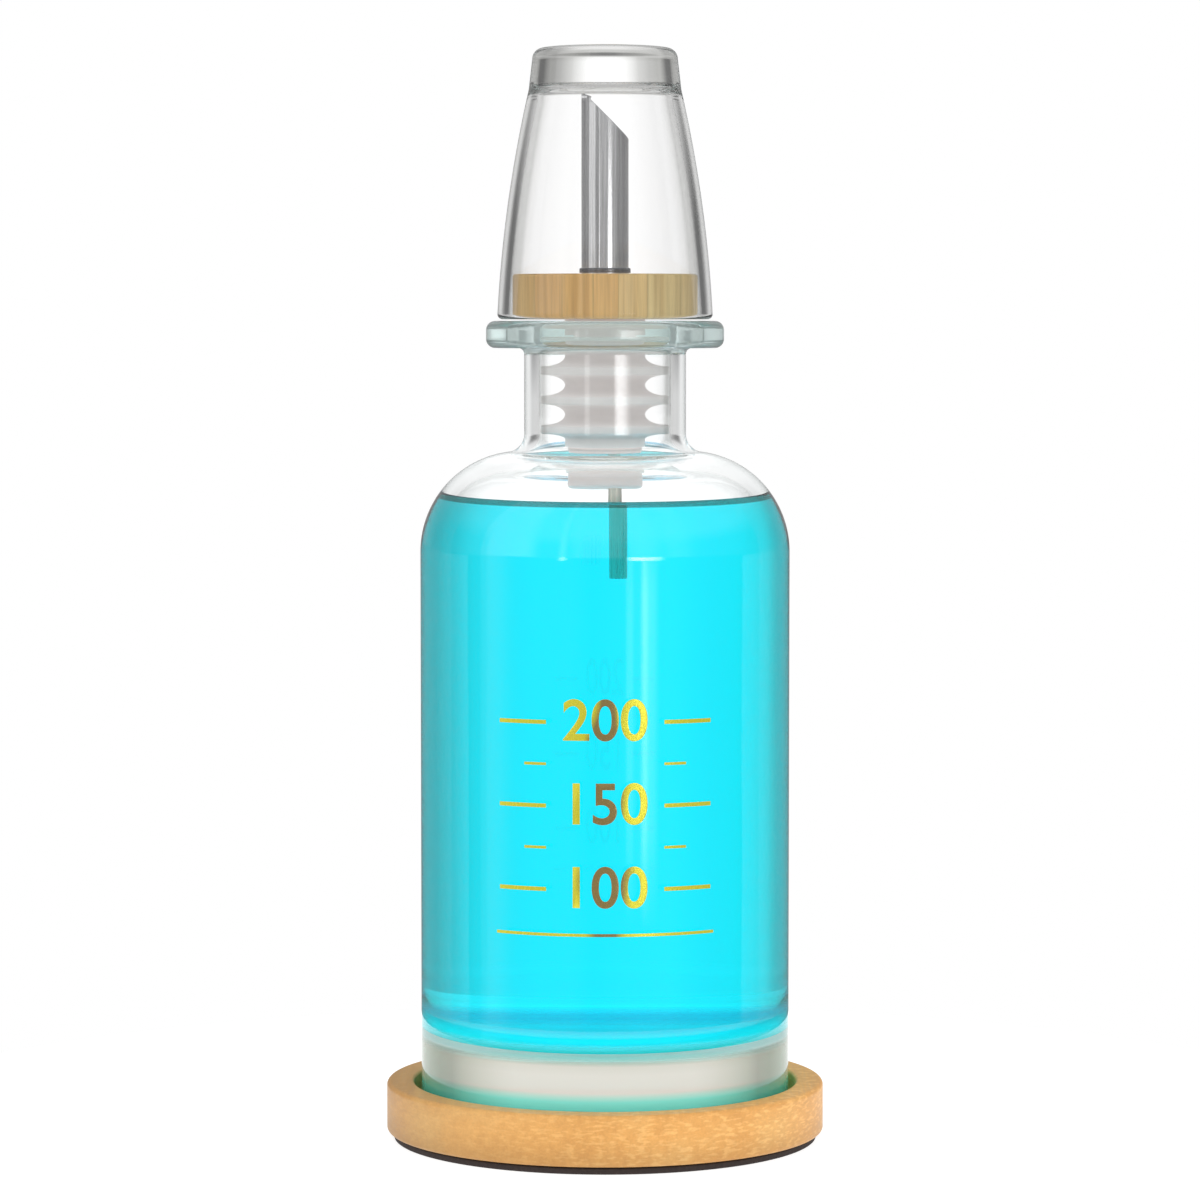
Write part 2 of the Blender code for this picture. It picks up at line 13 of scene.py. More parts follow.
import bmesh
import bpy
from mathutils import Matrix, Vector


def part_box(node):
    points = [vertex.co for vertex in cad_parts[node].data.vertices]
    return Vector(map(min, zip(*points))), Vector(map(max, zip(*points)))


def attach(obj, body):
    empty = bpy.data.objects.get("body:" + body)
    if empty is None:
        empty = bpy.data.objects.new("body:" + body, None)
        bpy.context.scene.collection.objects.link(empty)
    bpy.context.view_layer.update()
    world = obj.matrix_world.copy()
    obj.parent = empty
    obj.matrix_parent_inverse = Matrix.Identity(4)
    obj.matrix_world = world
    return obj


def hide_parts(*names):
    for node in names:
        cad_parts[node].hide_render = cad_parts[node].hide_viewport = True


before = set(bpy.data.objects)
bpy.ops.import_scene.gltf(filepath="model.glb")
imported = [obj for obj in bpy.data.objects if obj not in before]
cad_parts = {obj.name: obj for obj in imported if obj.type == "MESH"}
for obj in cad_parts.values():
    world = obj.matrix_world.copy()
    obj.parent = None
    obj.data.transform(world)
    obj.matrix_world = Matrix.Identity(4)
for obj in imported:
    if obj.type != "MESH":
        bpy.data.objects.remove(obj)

LOG = logging.getLogger("mouthwash_dispenser")
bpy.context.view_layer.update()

Point = tuple[float, float]
Profile = list[Point]
Triple = tuple[float, float, float]
Corner = Triple
Colour = Triple
Tone = float | Colour
Stop = tuple[float, Tone]
Socket = bpy.types.NodeSocket

# Units and the gaps between pieces
MM = 0.001
ML = 1e-6
SEAT_GAP = 0.3 * MM
FIT_GAP = 0.03 * MM

# How finely the meshes are drawn
ARC_STEP = math.radians(6.0)
ARC_CHORD = 0.45 * MM
RUN_SPACING = 2.5 * MM
RUN_GUARD = 0.12 * MM
WELD_DISTANCE = 0.001 * MM
FIN_WELD = 0.01 * MM
PATH_RADIUS = 20.0 * MM
FINE_SEGMENTS = 192
SMALL_SEGMENTS = 96
MARK_POINTS = 48
SHARP_ANGLE = math.radians(35.0)

# Angles, the top of ramps by height, the soft edge of a zone, and a count between no bounce and one
QUARTER = math.pi / 2
FRONT = -QUARTER
HALF_TURN = 180.0
RAMP_TOP = 0.21
ZONE_EDGE = 0.2 * MM
BEFORE_FIRST = 0.5


class Body(Enum):
    """The bodies that pieces ride on."""

    TRAY = "tray"
    BOTTLE = "bottle"
    STOPPER = "stopper"
    POUR_HEAD = "pour_head"
    CUP = "cup"


class Grain(Enum):
    """The way the fibres run in a piece of bamboo, as the stretch of its pattern along X, Y and Z."""

    UPRIGHT = (1.0, 1.0, 0.03)
    DEPTHWISE = (1.0, 0.06, 1.0)


def arc(centre: Point, radius: float, start: float, end: float) -> Profile:
    """Points along an arc of a profile.

    Args:
        centre: The arc's centre, as radius and height.
        radius: The arc's radius.
        start: First angle, in radians from the outward direction.
        end: Last angle, in radians.

    Returns:
        The points, both ends included.
    """
    sweep = abs(end - start)
    count = max(3, math.ceil(sweep / ARC_STEP), math.ceil(sweep * radius / ARC_CHORD))
    angles = [start + (end - start) * i / count for i in range(count + 1)]
    return [(centre[0] + radius * math.cos(a), centre[1] + radius * math.sin(a)) for a in angles]


def rounded(corners: list[Corner]) -> Profile:
    """A profile through corners, with each fillet drawn as an arc.

    Args:
        corners: Each corner's radius, height and fillet radius.

    Returns:
        The profile's points. The first and last corners stay sharp.
    """
    points: Profile = []
    last = len(corners) - 1
    for i, (r, z, fillet) in enumerate(corners):
        if fillet == 0 or i in (0, last):
            points.append((r, z))
            continue
        here = Vector((r, z))
        before = (Vector(corners[i - 1][:2]) - here).normalized()
        after = (Vector(corners[i + 1][:2]) - here).normalized()
        half = before.angle(after) / 2
        centre = here + (before + after).normalized() * (fillet / math.sin(half))
        first = here + before * (fillet / math.tan(half)) - centre
        final = here + after * (fillet / math.tan(half)) - centre
        start = math.atan2(first.y, first.x)
        turn = (math.atan2(final.y, final.x) - start + math.pi) % math.tau - math.pi
        points += arc(tuple(centre), fillet, start, start + turn)
    return points


def rounded_ring(corners: list[Corner]) -> Profile:
    """A closed profile of rounded corners, for a ring that doesn't reach the axis."""
    return rounded([corners[-1], *corners, corners[0]])[1:-1]


def with_supports(points: Profile, closed: bool) -> Profile:
    """Adds points to a profile's long stretches, so that smooth shading stays true next to an arc.

    Args:
        points: The profile's points.
        closed: Whether the last point joins the first.

    Returns:
        The same outline with more points.
    """
    ends = [*points[1:], points[0]] if closed else points[1:]
    dense: Profile = []
    for start, end in zip(points, ends):
        a, b = Vector(start), Vector(end)
        length = (b - a).length
        dense.append(start)
        if length > RUN_GUARD * 4:
            count = max(1, round((length - RUN_GUARD * 2) / RUN_SPACING))
            shares = [RUN_GUARD / length]
            shares += [(RUN_GUARD + (length - RUN_GUARD * 2) * i / count) / length for i in range(1, count)]
            shares += [1.0 - RUN_GUARD / length]
            dense += [tuple(a.lerp(b, share)) for share in shares]
    return dense if closed else [*dense, points[-1]]


class Wiring:
    """Short-hand for adding nodes to one tree."""

    def __init__(self, tree: bpy.types.NodeTree) -> None:
        """Keeps the tree."""
        self.tree = tree

    def add(self, kind: str, links: dict | None = None, **settings: object) -> bpy.types.Node:
        """Adds a node.

        Args:
            kind: The node's type.
            links: Inputs by name or number, each with a source socket or a plain value.
            settings: The node's own settings.

        Returns:
            The new node.
        """
        node = self.tree.nodes.new(kind)
        for key, value in settings.items():
            setattr(node, key, value)
        for label, source in (links or {}).items():
            if isinstance(source, Socket):
                self.tree.links.new(source, node.inputs[label])
            else:
                node.inputs[label].default_value = source
        return node


class GeometryTree(Wiring):
    """A geometry node tree that is built once and run on many pieces."""

    def __init__(self, name: str, sizes: dict[str, str]) -> None:
        """Makes the tree with its inputs.

        Args:
            name: The tree's name.
            sizes: Each named input with its kind of socket.
        """
        super().__init__(bpy.data.node_groups.new(name, "GeometryNodeTree"))
        face = self.tree.interface
        face.new_socket("Geometry", in_out="INPUT", socket_type="NodeSocketGeometry")
        face.new_socket("Geometry", in_out="OUTPUT", socket_type="NodeSocketGeometry")
        self.sockets = {
            label: face.new_socket(label, in_out="INPUT", socket_type=kind).identifier
            for label, kind in {**sizes, "Material": "NodeSocketMaterial"}.items()
        }
        self.given = self.tree.nodes.new("NodeGroupInput").outputs
        self.result = self.tree.nodes.new("NodeGroupOutput").inputs[0]

    def sweep(self, profile: Socket) -> None:
        """Turns a profile about +Z, welds its poles, and ends the tree with a smooth, dressed mesh."""
        ring = {"Resolution": self.given["Segments"], "Radius": PATH_RADIUS}
        circle = self.add("GeometryNodeCurvePrimitiveCircle", ring).outputs["Curve"]
        curve = self.add("GeometryNodeMeshToCurve", {"Mesh": profile}).outputs["Curve"]
        skin = self.add("GeometryNodeCurveToMesh", {"Curve": circle, "Profile Curve": curve}).outputs["Mesh"]
        self.finish(self.weld(skin, WELD_DISTANCE))

    def weld(self, shape: Socket, distance: float) -> Socket:
        """Joins the points of a mesh that lie within a distance."""
        welded = self.add("GeometryNodeMergeByDistance", {"Geometry": shape, "Distance": distance})
        return welded.outputs["Geometry"]

    def copies(self, points: Socket, instance: Socket, **links: Socket) -> Socket:
        """Instances of a shape on points, with further inputs by name."""
        links = {"Points": points, "Instance": instance, **links}
        return self.add("GeometryNodeInstanceOnPoints", links).outputs["Instances"]

    def along(self, axis: str, length: Socket) -> Socket:
        """A vector of a given length along X, Y or Z."""
        return self.add("ShaderNodeCombineXYZ", {axis: length}).outputs["Vector"]

    def finish(self, shape: Socket) -> None:
        """Ends the tree: instances made real, smooth shading and the piece's material."""
        real = self.add("GeometryNodeRealizeInstances", {"Geometry": shape})
        smooth = self.add("GeometryNodeSetShadeSmooth", {"Geometry": real.outputs["Geometry"]})
        links = {"Geometry": smooth.outputs["Geometry"], "Material": self.given["Material"]}
        dressed = self.add("GeometryNodeSetMaterial", links)
        self.tree.links.new(dressed.outputs["Geometry"], self.result)

    def run(
        self, name: str, start: bpy.types.Mesh, material: bpy.types.Material, **sizes: float
    ) -> bpy.types.Mesh:
        """Runs the tree on a starting mesh and returns the plain mesh that it makes.

        Args:
            name: The name of the new mesh.
            start: The mesh that the tree starts from.
            material: The piece's material.
            sizes: The tree's inputs, with underscores for spaces.

        Returns:
            The finished mesh, with its faces pointing outwards.
        """
        maker = put_in_scene(name, start)
        modifier = maker.modifiers.new(self.tree.name, "NODES")
        modifier.node_group = self.tree
        modifier[self.sockets["Material"]] = material
        for key, value in sizes.items():
            modifier[self.sockets[key.replace("_", " ")]] = value
        mesh = plain_mesh(maker)
        mesh.name = name
        shape = bmesh.new()
        shape.from_mesh(mesh)
        bmesh.ops.recalc_face_normals(shape, faces=shape.faces)
        shape.to_mesh(mesh)
        shape.free()
        return mesh


def put_in_scene(name: str, data: bpy.types.ID) -> bpy.types.Object:
    """A new object in the scene that holds the given data."""
    thing = bpy.data.objects.new(name, data)
    bpy.context.scene.collection.objects.link(thing)
    return thing


def piece_of(mesh: bpy.types.Mesh) -> bpy.types.Object:
    """Puts a finished mesh in the scene as a piece of the same name."""
    return put_in_scene(mesh.name, mesh)


def finished_mesh(name: str, shape: bmesh.types.BMesh) -> bpy.types.Mesh:
    """A mesh of a working shape, which is freed."""
    mesh = bpy.data.meshes.new(name)
    shape.to_mesh(mesh)
    shape.free()
    return mesh


def shade(mesh: bpy.types.Mesh) -> None:
    """Shades a mesh smoothly between its sharp edges."""
    mesh.shade_smooth()
    mesh.set_sharp_from_angle(angle=SHARP_ANGLE)


def plain_mesh(maker: bpy.types.Object) -> bpy.types.Mesh:
    """The evaluated mesh of an object, which is removed with its modifiers."""
    bpy.context.view_layer.update()
    evaluated = maker.evaluated_get(bpy.context.evaluated_depsgraph_get())
    mesh = bpy.data.meshes.new_from_object(evaluated)
    bpy.data.objects.remove(maker, do_unlink=True)
    return mesh


def turning_tree() -> GeometryTree:
    """The tree that turns a profile about +Z."""
    tree = GeometryTree("turning", {"Segments": "NodeSocketInt"})
    tree.sweep(tree.given["Geometry"])
    return tree


def fin_tree() -> GeometryTree:
    """The tree that repeats one fin's profile down the sleeve and turns the whole."""
    tree = GeometryTree(
        "fins", {"Segments": "NodeSocketInt", "Fins": "NodeSocketInt", "Pitch": "NodeSocketFloat"}
    )
    repeats = tree.add("GeometryNodeInputNamedAttribute", {"Name": "repeats"}, data_type="BOOLEAN")
    choice = {"Geometry": tree.given["Geometry"], "Selection": repeats.outputs["Attribute"]}
    parts = tree.add("GeometryNodeSeparateGeometry", choice).outputs
    steps = {"Count": tree.given["Fins"], "Offset": tree.along("Y", tree.given["Pitch"])}
    line = tree.add("GeometryNodeMeshLine", steps)
    copies = tree.copies(line.outputs["Mesh"], parts["Selection"])
    real = tree.add("GeometryNodeRealizeInstances", {"Geometry": copies})
    joined = tree.add("GeometryNodeJoinGeometry", {"Geometry": real.outputs["Geometry"]})
    tree.tree.links.new(parts["Inverted"], joined.inputs["Geometry"])
    tree.sweep(tree.weld(joined.outputs["Geometry"], FIN_WELD))
    return tree


def mark_tree() -> GeometryTree:
    """The tree that lays curved marks on a round wall, in rows and on one or both sides."""
    number = "NodeSocketFloat"
    tree = GeometryTree("marks", {
        "Radius": number, "Start": number, "Sweep": number, "Width": number, "Thickness": number,
        "Height": number, "Rise": number, "Rows": "NodeSocketInt",
        "Sides": "NodeSocketInt", "Side Turn": number,
    })
    given = tree.given
    line = {
        "Resolution": MARK_POINTS, "Radius": given["Radius"],
        "Start Angle": given["Start"], "Sweep Angle": given["Sweep"],
    }
    bend = tree.add("GeometryNodeCurveArc", line).outputs["Curve"]
    cut = {"Width": given["Thickness"], "Height": given["Width"]}
    section = tree.add("GeometryNodeCurvePrimitiveQuadrilateral", cut).outputs["Curve"]
    mark = tree.add("GeometryNodeCurveToMesh", {"Curve": bend, "Profile Curve": section, "Fill Caps": True})
    steps = {
        "Count": given["Rows"],
        "Start Location": tree.along("Z", given["Height"]), "Offset": tree.along("Z", given["Rise"]),
    }
    rows = tree.add("GeometryNodeMeshLine", steps)
    column = tree.copies(rows.outputs["Mesh"], mark.outputs["Mesh"])
    sides = tree.add("GeometryNodeMeshLine", {"Count": given["Sides"], "Offset": (0.0, 0.0, 0.0)})
    index = tree.add("GeometryNodeInputIndex").outputs["Index"]
    turn = tree.add("ShaderNodeMath", {0: index, 1: given["Side Turn"]}, operation="MULTIPLY")
    spin = tree.along("Z", turn.outputs["Value"])
    tree.finish(tree.copies(sides.outputs["Mesh"], column, Rotation=spin))
    return tree


def outline_mesh(lines: Iterable[tuple[Profile, bool]], repeats: Iterable[bool] = ()) -> bpy.types.Mesh:
    """A mesh of bare edges that holds profiles where the turning tree reads them.

    Args:
        lines: Profiles, each with whether it closes on itself.
        repeats: For each profile, whether the fin tree repeats it.

    Returns:
        The mesh, with a point attribute named repeats if that was given.
    """
    points: list[Triple] = []
    edges: list[tuple[int, int]] = []
    flags: list[bool] = []
    wanted = list(repeats)
    for number, (profile, closed) in enumerate(lines):
        first = len(points)
        dense = with_supports(profile, closed)
        points += [(r - PATH_RADIUS, -z, 0.0) for r, z in dense]
        edges += [(i, i + 1) for i in range(first, len(points) - 1)]
        if closed:
            edges.append((len(points) - 1, first))
        if wanted:
            flags += [wanted[number]] * len(dense)
    mesh = bpy.data.meshes.new("outline")
    mesh.from_pydata(points, edges, [])
    if flags:
        mesh.attributes.new("repeats", "BOOLEAN", "POINT").data.foreach_set("value", flags)
    return mesh


def rgba(tone: Tone) -> tuple[float, ...]:
    """A tone as a solid colour. A single number is a grey."""
    return (*(tone if isinstance(tone, tuple) else (tone,) * 3), 1.0)


class Board(Wiring):
    """Short-hand for wiring the shader nodes of one tree."""

    def __init__(self, tree: bpy.types.NodeTree) -> None:
        """Empties the tree and takes it over."""
        super().__init__(tree)
        tree.nodes.clear()

    def calc(self, operation: str, first: Socket | float, second: Socket | float = 0.0) -> Socket:
        """One sum on one or two values."""
        return self.add("ShaderNodeMath", {0: first, 1: second}, operation=operation).outputs["Value"]

    def split(self, vector: Socket) -> bpy.types.NodeOutputs:
        """A vector's three parts, by the names X, Y and Z."""
        return self.add("ShaderNodeSeparateXYZ", {"Vector": vector}).outputs

    def ramp(self, value: Socket, stops: Iterable[Stop]) -> Socket:
        """A colour ramp's colour for a value. It has two stops or more, in rising order."""
        node = self.add("ShaderNodeValToRGB", {"Fac": value})
        elements = node.color_ramp.elements
        for i, (place, tone) in enumerate(stops):
            element = elements[i] if i < 2 else elements.new(place)
            element.position = place
            element.color = rgba(tone)
        return node.outputs["Color"]

    def levels(self, value: Socket, stops: Iterable[Stop], start: float, end: float) -> Socket:
        """A tone that follows stops given in the value's own units.

        Args:
            value: The value that the tone follows.
            stops: Rising places between start and end, each with its tone, which holds beyond the outer ones.
            start: The value at which the ramp starts.
            end: The value at which it ends.

        Returns:
            The tone.
        """
        share = self.fade(value, 0.0, 1.0, start, end)
        return self.ramp(share, [((place - start) / (end - start), tone) for place, tone in stops])

    def fade(self, value: Socket, low: float, high: float, start: float = 0.0, end: float = 1.0) -> Socket:
        """A value that goes from low to high as the given one goes from start to end."""
        sizes = {"Value": value, "From Min": start, "From Max": end, "To Min": low, "To Max": high}
        return self.add("ShaderNodeMapRange", sizes).outputs["Result"]

    def mix(self, share: Socket | float, first: object, second: object, blend: str = "MIX") -> Socket:
        """Two colours mixed."""
        colours = {"Fac": share, "Color1": first, "Color2": second}
        return self.add("ShaderNodeMixRGB", colours, blend_type=blend).outputs["Color"]

    def tinted(self, colour: Socket, tint: object, share: Socket | float = 1.0) -> Socket:
        """A colour multiplied by a tint, wholly or by a share."""
        return self.mix(share, colour, tint, "MULTIPLY")


class Sheet(Board):
    """One material's nodes."""

    def __init__(self, name: str) -> None:
        """Makes an empty material."""
        self.material = bpy.data.materials.new(name)
        self.material.use_nodes = True
        super().__init__(self.material.node_tree)
        self.out = self.add("ShaderNodeOutputMaterial")

    def place(self, stretch: Triple = (1.0, 1.0, 1.0), shift: Triple = (0.0, 0.0, 0.0)) -> Socket:
        """Object coordinates, shifted and stretched by a Mapping node."""
        where = self.add("ShaderNodeTexCoord").outputs["Object"]
        mapping = self.add("ShaderNodeMapping", {"Vector": where, "Scale": stretch, "Location": shift})
        return mapping.outputs["Vector"]

    def from_axis(self) -> Socket:
        """The distance from the object's axis."""
        flat = self.place((1.0, 1.0, 0.0))
        return self.add("ShaderNodeVectorMath", {0: flat}, operation="LENGTH").outputs["Value"]

    def slant(self) -> Socket:
        """How far a face is turned away: 0 where it is seen square on and 1 at its outline."""
        return self.add("ShaderNodeLayerWeight", {"Blend": 0.5}).outputs["Facing"]

    def noise(self, where: Socket, scale: float, detail: float, distortion: float = 0.0) -> Socket:
        """A noise pattern's values."""
        sizes = {"Vector": where, "Scale": scale, "Detail": detail, "Distortion": distortion}
        return self.add("ShaderNodeTexNoise", sizes).outputs["Fac"]

    def bump(self, height: Socket, strength: float, depth: float) -> Socket:
        """A surface's relief, its depth in metres."""
        node = self.add("ShaderNodeBump", {"Height": height, "Strength": strength, "Distance": depth})
        return node.outputs["Normal"]

    def principled(self, links: dict[str, object]) -> Socket:
        """The Principled shader with its inputs, wired to the material's output."""
        shader = self.add("ShaderNodeBsdfPrincipled", links).outputs["BSDF"]
        self.tree.links.new(shader, self.out.inputs["Surface"])
        return shader

    def let_lamps_through(self, surface: Socket, tint: Colour) -> None:
        """Lets shadow rays pass a clear surface, so that lamps light what lies behind it."""
        shadow = self.add("ShaderNodeLightPath").outputs["Is Shadow Ray"]
        clear = self.add("ShaderNodeBsdfTransparent", {"Color": rgba(tint)}).outputs["BSDF"]
        both = self.add("ShaderNodeMixShader", {0: shadow, 1: surface, 2: clear})
        self.tree.links.new(both.outputs["Shader"], self.out.inputs["Surface"])

    def absorb(self, colour: Colour, density: float) -> None:
        """Gives the material's inside a plain absorption."""
        inside = self.add("ShaderNodeVolumeAbsorption", {"Color": rgba(colour), "Density": density})
        self.tree.links.new(inside.outputs["Volume"], self.out.inputs["Volume"])


@dataclass(frozen=True)
class Finish:
    """What a piece is dressed in. Its name is also the material's name."""

    name: str

    def material(self) -> bpy.types.Material:
        """Builds the material."""
        sheet = Sheet(self.name)
        self.dress(sheet)
        return sheet.material

    def dress(self, sheet: Sheet) -> None:
        """Wires the finish's own nodes."""
        raise NotImplementedError


@dataclass(frozen=True)
class GlassZone:
    """A band of the glass, between two heights and beyond a radius, with painted slant shade of its own."""

    low: float
    high: float
    painted_slant_shade: tuple[Stop, ...]
    beyond: float = 0.0


@dataclass(frozen=True)
class GlassFinish(Finish):
    """Clear polished glass with painted shade: its colour darkens where it is seen at a slant, towards its
    outline.

    Painted bands of light and shade, frost, clearness and a faint painted glow are given by height, and each
    zone has painted slant shade of its own. The painted glow fades out between two given shares of the slant,
    so that outlines stay dark.
    """

    body: Colour
    density: float
    painted_slant_shade: tuple[Stop, ...]
    painted_height_bands: tuple[Stop, ...]
    frost: tuple[Point, ...] = ()
    clearness: tuple[Point, ...] = ()
    glow: tuple[Point, ...] = ()
    zones: tuple[GlassZone, ...] = ()
    painted_glow_slant: Point = (0.52, 0.68)
    shadow_tint: Colour = (0.97, 0.985, 0.985)

    def dress(self, sheet: Sheet) -> None:
        """Wires the glass, with each zone laid over the rest."""
        slant = sheet.slant()
        height = sheet.split(sheet.place())["Z"]
        radius = sheet.from_axis()
        # Painted shade: the colour darkens by slant, most at the outline.
        colour = sheet.ramp(slant, self.painted_slant_shade)
        for zone in self.zones:
            above = sheet.fade(height, 0.0, 1.0, zone.low - ZONE_EDGE, zone.low + ZONE_EDGE)
            under = sheet.fade(height, 1.0, 0.0, zone.high - ZONE_EDGE, zone.high + ZONE_EDGE)
            outer = sheet.fade(radius, 0.0, 1.0, zone.beyond - ZONE_EDGE, zone.beyond)
            inside = sheet.calc("MULTIPLY", sheet.calc("MULTIPLY", above, under), outer)
            colour = sheet.mix(inside, colour, sheet.ramp(slant, zone.painted_slant_shade))
        smear = sheet.noise(sheet.place((1.0, 1.0, 0.35)), scale=70.0, detail=2.0)
        links = {
            # Painted light and shade: bands of colour by height multiply the glass's colour.
            "Base Color": sheet.tinted(colour, sheet.levels(height, self.painted_height_bands, 0.0, RAMP_TOP)),
            "Roughness": sheet.fade(smear, 0.0, 0.012),
            "IOR": 1.5,
            "Transmission Weight": 1.0,
            "Normal": sheet.bump(smear, strength=0.08, depth=0.0004),
        }
        if self.frost:
            frost = sheet.levels(height, self.frost, 0.0, RAMP_TOP)
            links["Roughness"] = sheet.calc("ADD", links["Roughness"], frost)
        if self.clearness:
            links["Transmission Weight"] = sheet.levels(height, self.clearness, 0.0, RAMP_TOP)
        # Painted glow: a faint emission by height, though the glass is no lamp, fading out towards the outline.
        if self.glow:
            glow = sheet.levels(height, self.glow, 0.0, RAMP_TOP)
            square_on = sheet.fade(slant, 1.0, 0.0, *self.painted_glow_slant)
            links["Emission Color"] = sheet.calc("MULTIPLY", glow, square_on)
            links["Emission Strength"] = 1.0
        sheet.let_lamps_through(sheet.principled(links), self.shadow_tint)
        sheet.absorb(self.body, self.density)


@dataclass(frozen=True)
class LiquidFinish(Finish):
    """Clear dyed liquid with painted shade and light: its outline darkens by slant, a painted dark line runs
    round its surface, and its floor has a painted tint and a faint painted glow.

    The painted floor tint clears over clear_rise, and the painted glow ends over glow_rise, both counted from
    the floor.
    The painted glow grows as a face lies more level, over floor_levels where it is seen from inside and over
    corner_levels from outside.
    """

    painted_slant_shade: tuple[Stop, ...]
    dye: Colour
    density: float
    surface: float
    line: Colour
    floor: float
    floor_tone: Colour
    floor_glow: Colour
    painted_line_shares: Point = (0.53, 0.60)
    clear_rise: Point = (0.4 * MM, 2.0 * MM)
    glow_rise: Point = (4.5 * MM, 5.6 * MM)
    floor_levels: Point = (0.38, 0.80)
    corner_levels: Point = (0.05, 0.40)
    painted_corner_glow: float = 0.7
    shadow_tint: Colour = (0.9, 1.0, 1.0)

    def dress(self, sheet: Sheet) -> None:
        """Wires the liquid, its surface's painted dark line, and its floor's painted tint and glow."""
        height = sheet.split(sheet.place())["Z"]
        # Painted shade: a dark line on the meniscus, just above the flat surface.
        share = sheet.fade(height, 0.0, 1.0, self.surface - MM, self.surface + MM)
        line = sheet.ramp(share, zip(self.painted_line_shares, (1.0, self.line)))
        # Painted light: near the floor the liquid is less clear and tinted; above it, painted shade darkens it
        # by slant.
        clearness = sheet.fade(height, 0.0, 1.0, *(self.floor + rise for rise in self.clear_rise))
        tint = sheet.mix(clearness, rgba(self.floor_tone), sheet.ramp(sheet.slant(), self.painted_slant_shade))
        # Painted glow on the floor and its rounded corner, though the liquid is no lamp.
        low = sheet.fade(height, 1.0, 0.0, *(self.floor + rise for rise in self.glow_rise))
        geometry = sheet.add("ShaderNodeNewGeometry").outputs
        level = sheet.calc("ABSOLUTE", sheet.split(geometry["Normal"])["Z"])
        bottom = sheet.fade(level, 0.0, 1.0, *self.floor_levels)
        corner = sheet.fade(level, 0.0, self.painted_corner_glow, *self.corner_levels)
        painted_floor_light = sheet.calc("MULTIPLY", low, sheet.mix(geometry["Backfacing"], corner, bottom))
        swirl = sheet.noise(sheet.place((1.0, 1.0, 0.2)), scale=45.0, detail=1.0)
        surface = sheet.principled({
            "Base Color": sheet.tinted(tint, line),
            "Roughness": sheet.fade(swirl, 0.0, 0.02),
            "IOR": 1.333,
            "Transmission Weight": clearness,
            "Emission Color": sheet.ramp(painted_floor_light, [(0.0, 0.0), (1.0, self.floor_glow)]),
            "Emission Strength": 1.0,
            "Normal": sheet.bump(swirl, strength=0.05, depth=0.0004),
        })
        sheet.let_lamps_through(surface, self.shadow_tint)
        sheet.absorb(self.dye, self.density)


@dataclass(frozen=True)
class BambooFinish(Finish):
    """Oiled laminated bamboo, in strips of several tones, with fine fibres and fleck.

    Sides and foot are painted shade: they darken it towards one side along X and towards the bottom by height.
    The fleck grows over fleck_reach, along X.
    """

    grain: Grain
    tones: tuple[Colour, ...]
    strip_width: float
    strip_shift: float
    strip_contrast: float
    fleck: float
    fibre: float
    streak: float
    dash: Triple
    # Painted shade: darker towards -X (the left, seen from the front) and, by foot, towards the bottom.
    sides: tuple[Point, ...] = ((-0.042, 0.84), (-0.002, 1.0), (0.042, 1.0))
    foot: tuple[Point, ...] = ()
    fleck_reach: Point = (-0.022, 0.002)
    glue_width: float = 0.05

    def dress(self, sheet: Sheet) -> None:
        """Wires the strips, then the fibres, fleck and the painted side and foot shade over them."""
        where = sheet.place(self.grain.value, (self.strip_shift, 0.0, 0.0))
        along = sheet.split(where)["X"]
        cells = {"W": along, "Scale": 1.0 / self.strip_width, "Randomness": 0.85}
        strip = sheet.add("ShaderNodeTexVoronoi", cells, voronoi_dimensions="1D")
        seam = sheet.add("ShaderNodeTexVoronoi", cells, voronoi_dimensions="1D", feature="DISTANCE_TO_EDGE")
        last = len(self.tones) - 1
        spread = [(i / last, tone) for i, tone in enumerate(self.tones)]
        cloud = sheet.fade(sheet.noise(where, scale=90.0, detail=3.0), 0.0, 1.0, 0.3, 0.7)
        strip_tone = sheet.ramp(strip.outputs["Color"], spread)
        colour = sheet.mix(self.strip_contrast, sheet.ramp(cloud, spread), strip_tone)
        fibre = sheet.noise(where, scale=2600.0, detail=3.0)
        shade = sheet.ramp(fibre, [(0.30, (0.62, 0.56, 0.48)), (0.62, (1.10, 1.08, 1.02))])
        colour = sheet.tinted(colour, shade, self.fibre)
        streak = sheet.noise(where, scale=700.0, detail=2.0, distortion=0.3)
        band = sheet.ramp(streak, [(0.34, (0.74, 0.62, 0.50)), (0.60, (1.06, 1.06, 1.05))])
        colour = sheet.tinted(colour, band, self.streak)
        dash = sheet.noise(sheet.place(self.dash), scale=1900.0, detail=1.0)
        fleck = sheet.ramp(dash, [(0.50, (0.80, 0.68, 0.50)), (0.64, 1.0)])
        spots = sheet.calc("MULTIPLY", sheet.fade(along, 0.35, 1.0, *self.fleck_reach), self.fleck)
        colour = sheet.tinted(colour, fleck, spots)
        # Painted shade by place along X and by height.
        real = sheet.split(sheet.place())
        for axis, stops in (("X", self.sides), ("Z", self.foot)):
            if stops:
                colour = sheet.tinted(colour, sheet.levels(real[axis], stops, stops[0][0], stops[-1][0]))
        glue = sheet.fade(seam.outputs["Distance"], 0.80, 1.0, 0.0, self.glue_width)
        sheet.principled({
            "Base Color": sheet.tinted(colour, glue, self.strip_contrast),
            "Roughness": sheet.fade(fibre, 0.36, 0.58),
            "Specular IOR Level": 0.4,
            "Coat Weight": 0.12,
            "Coat Roughness": 0.3,
            "Normal": sheet.bump(fibre, strength=0.35, depth=0.00012),
        })


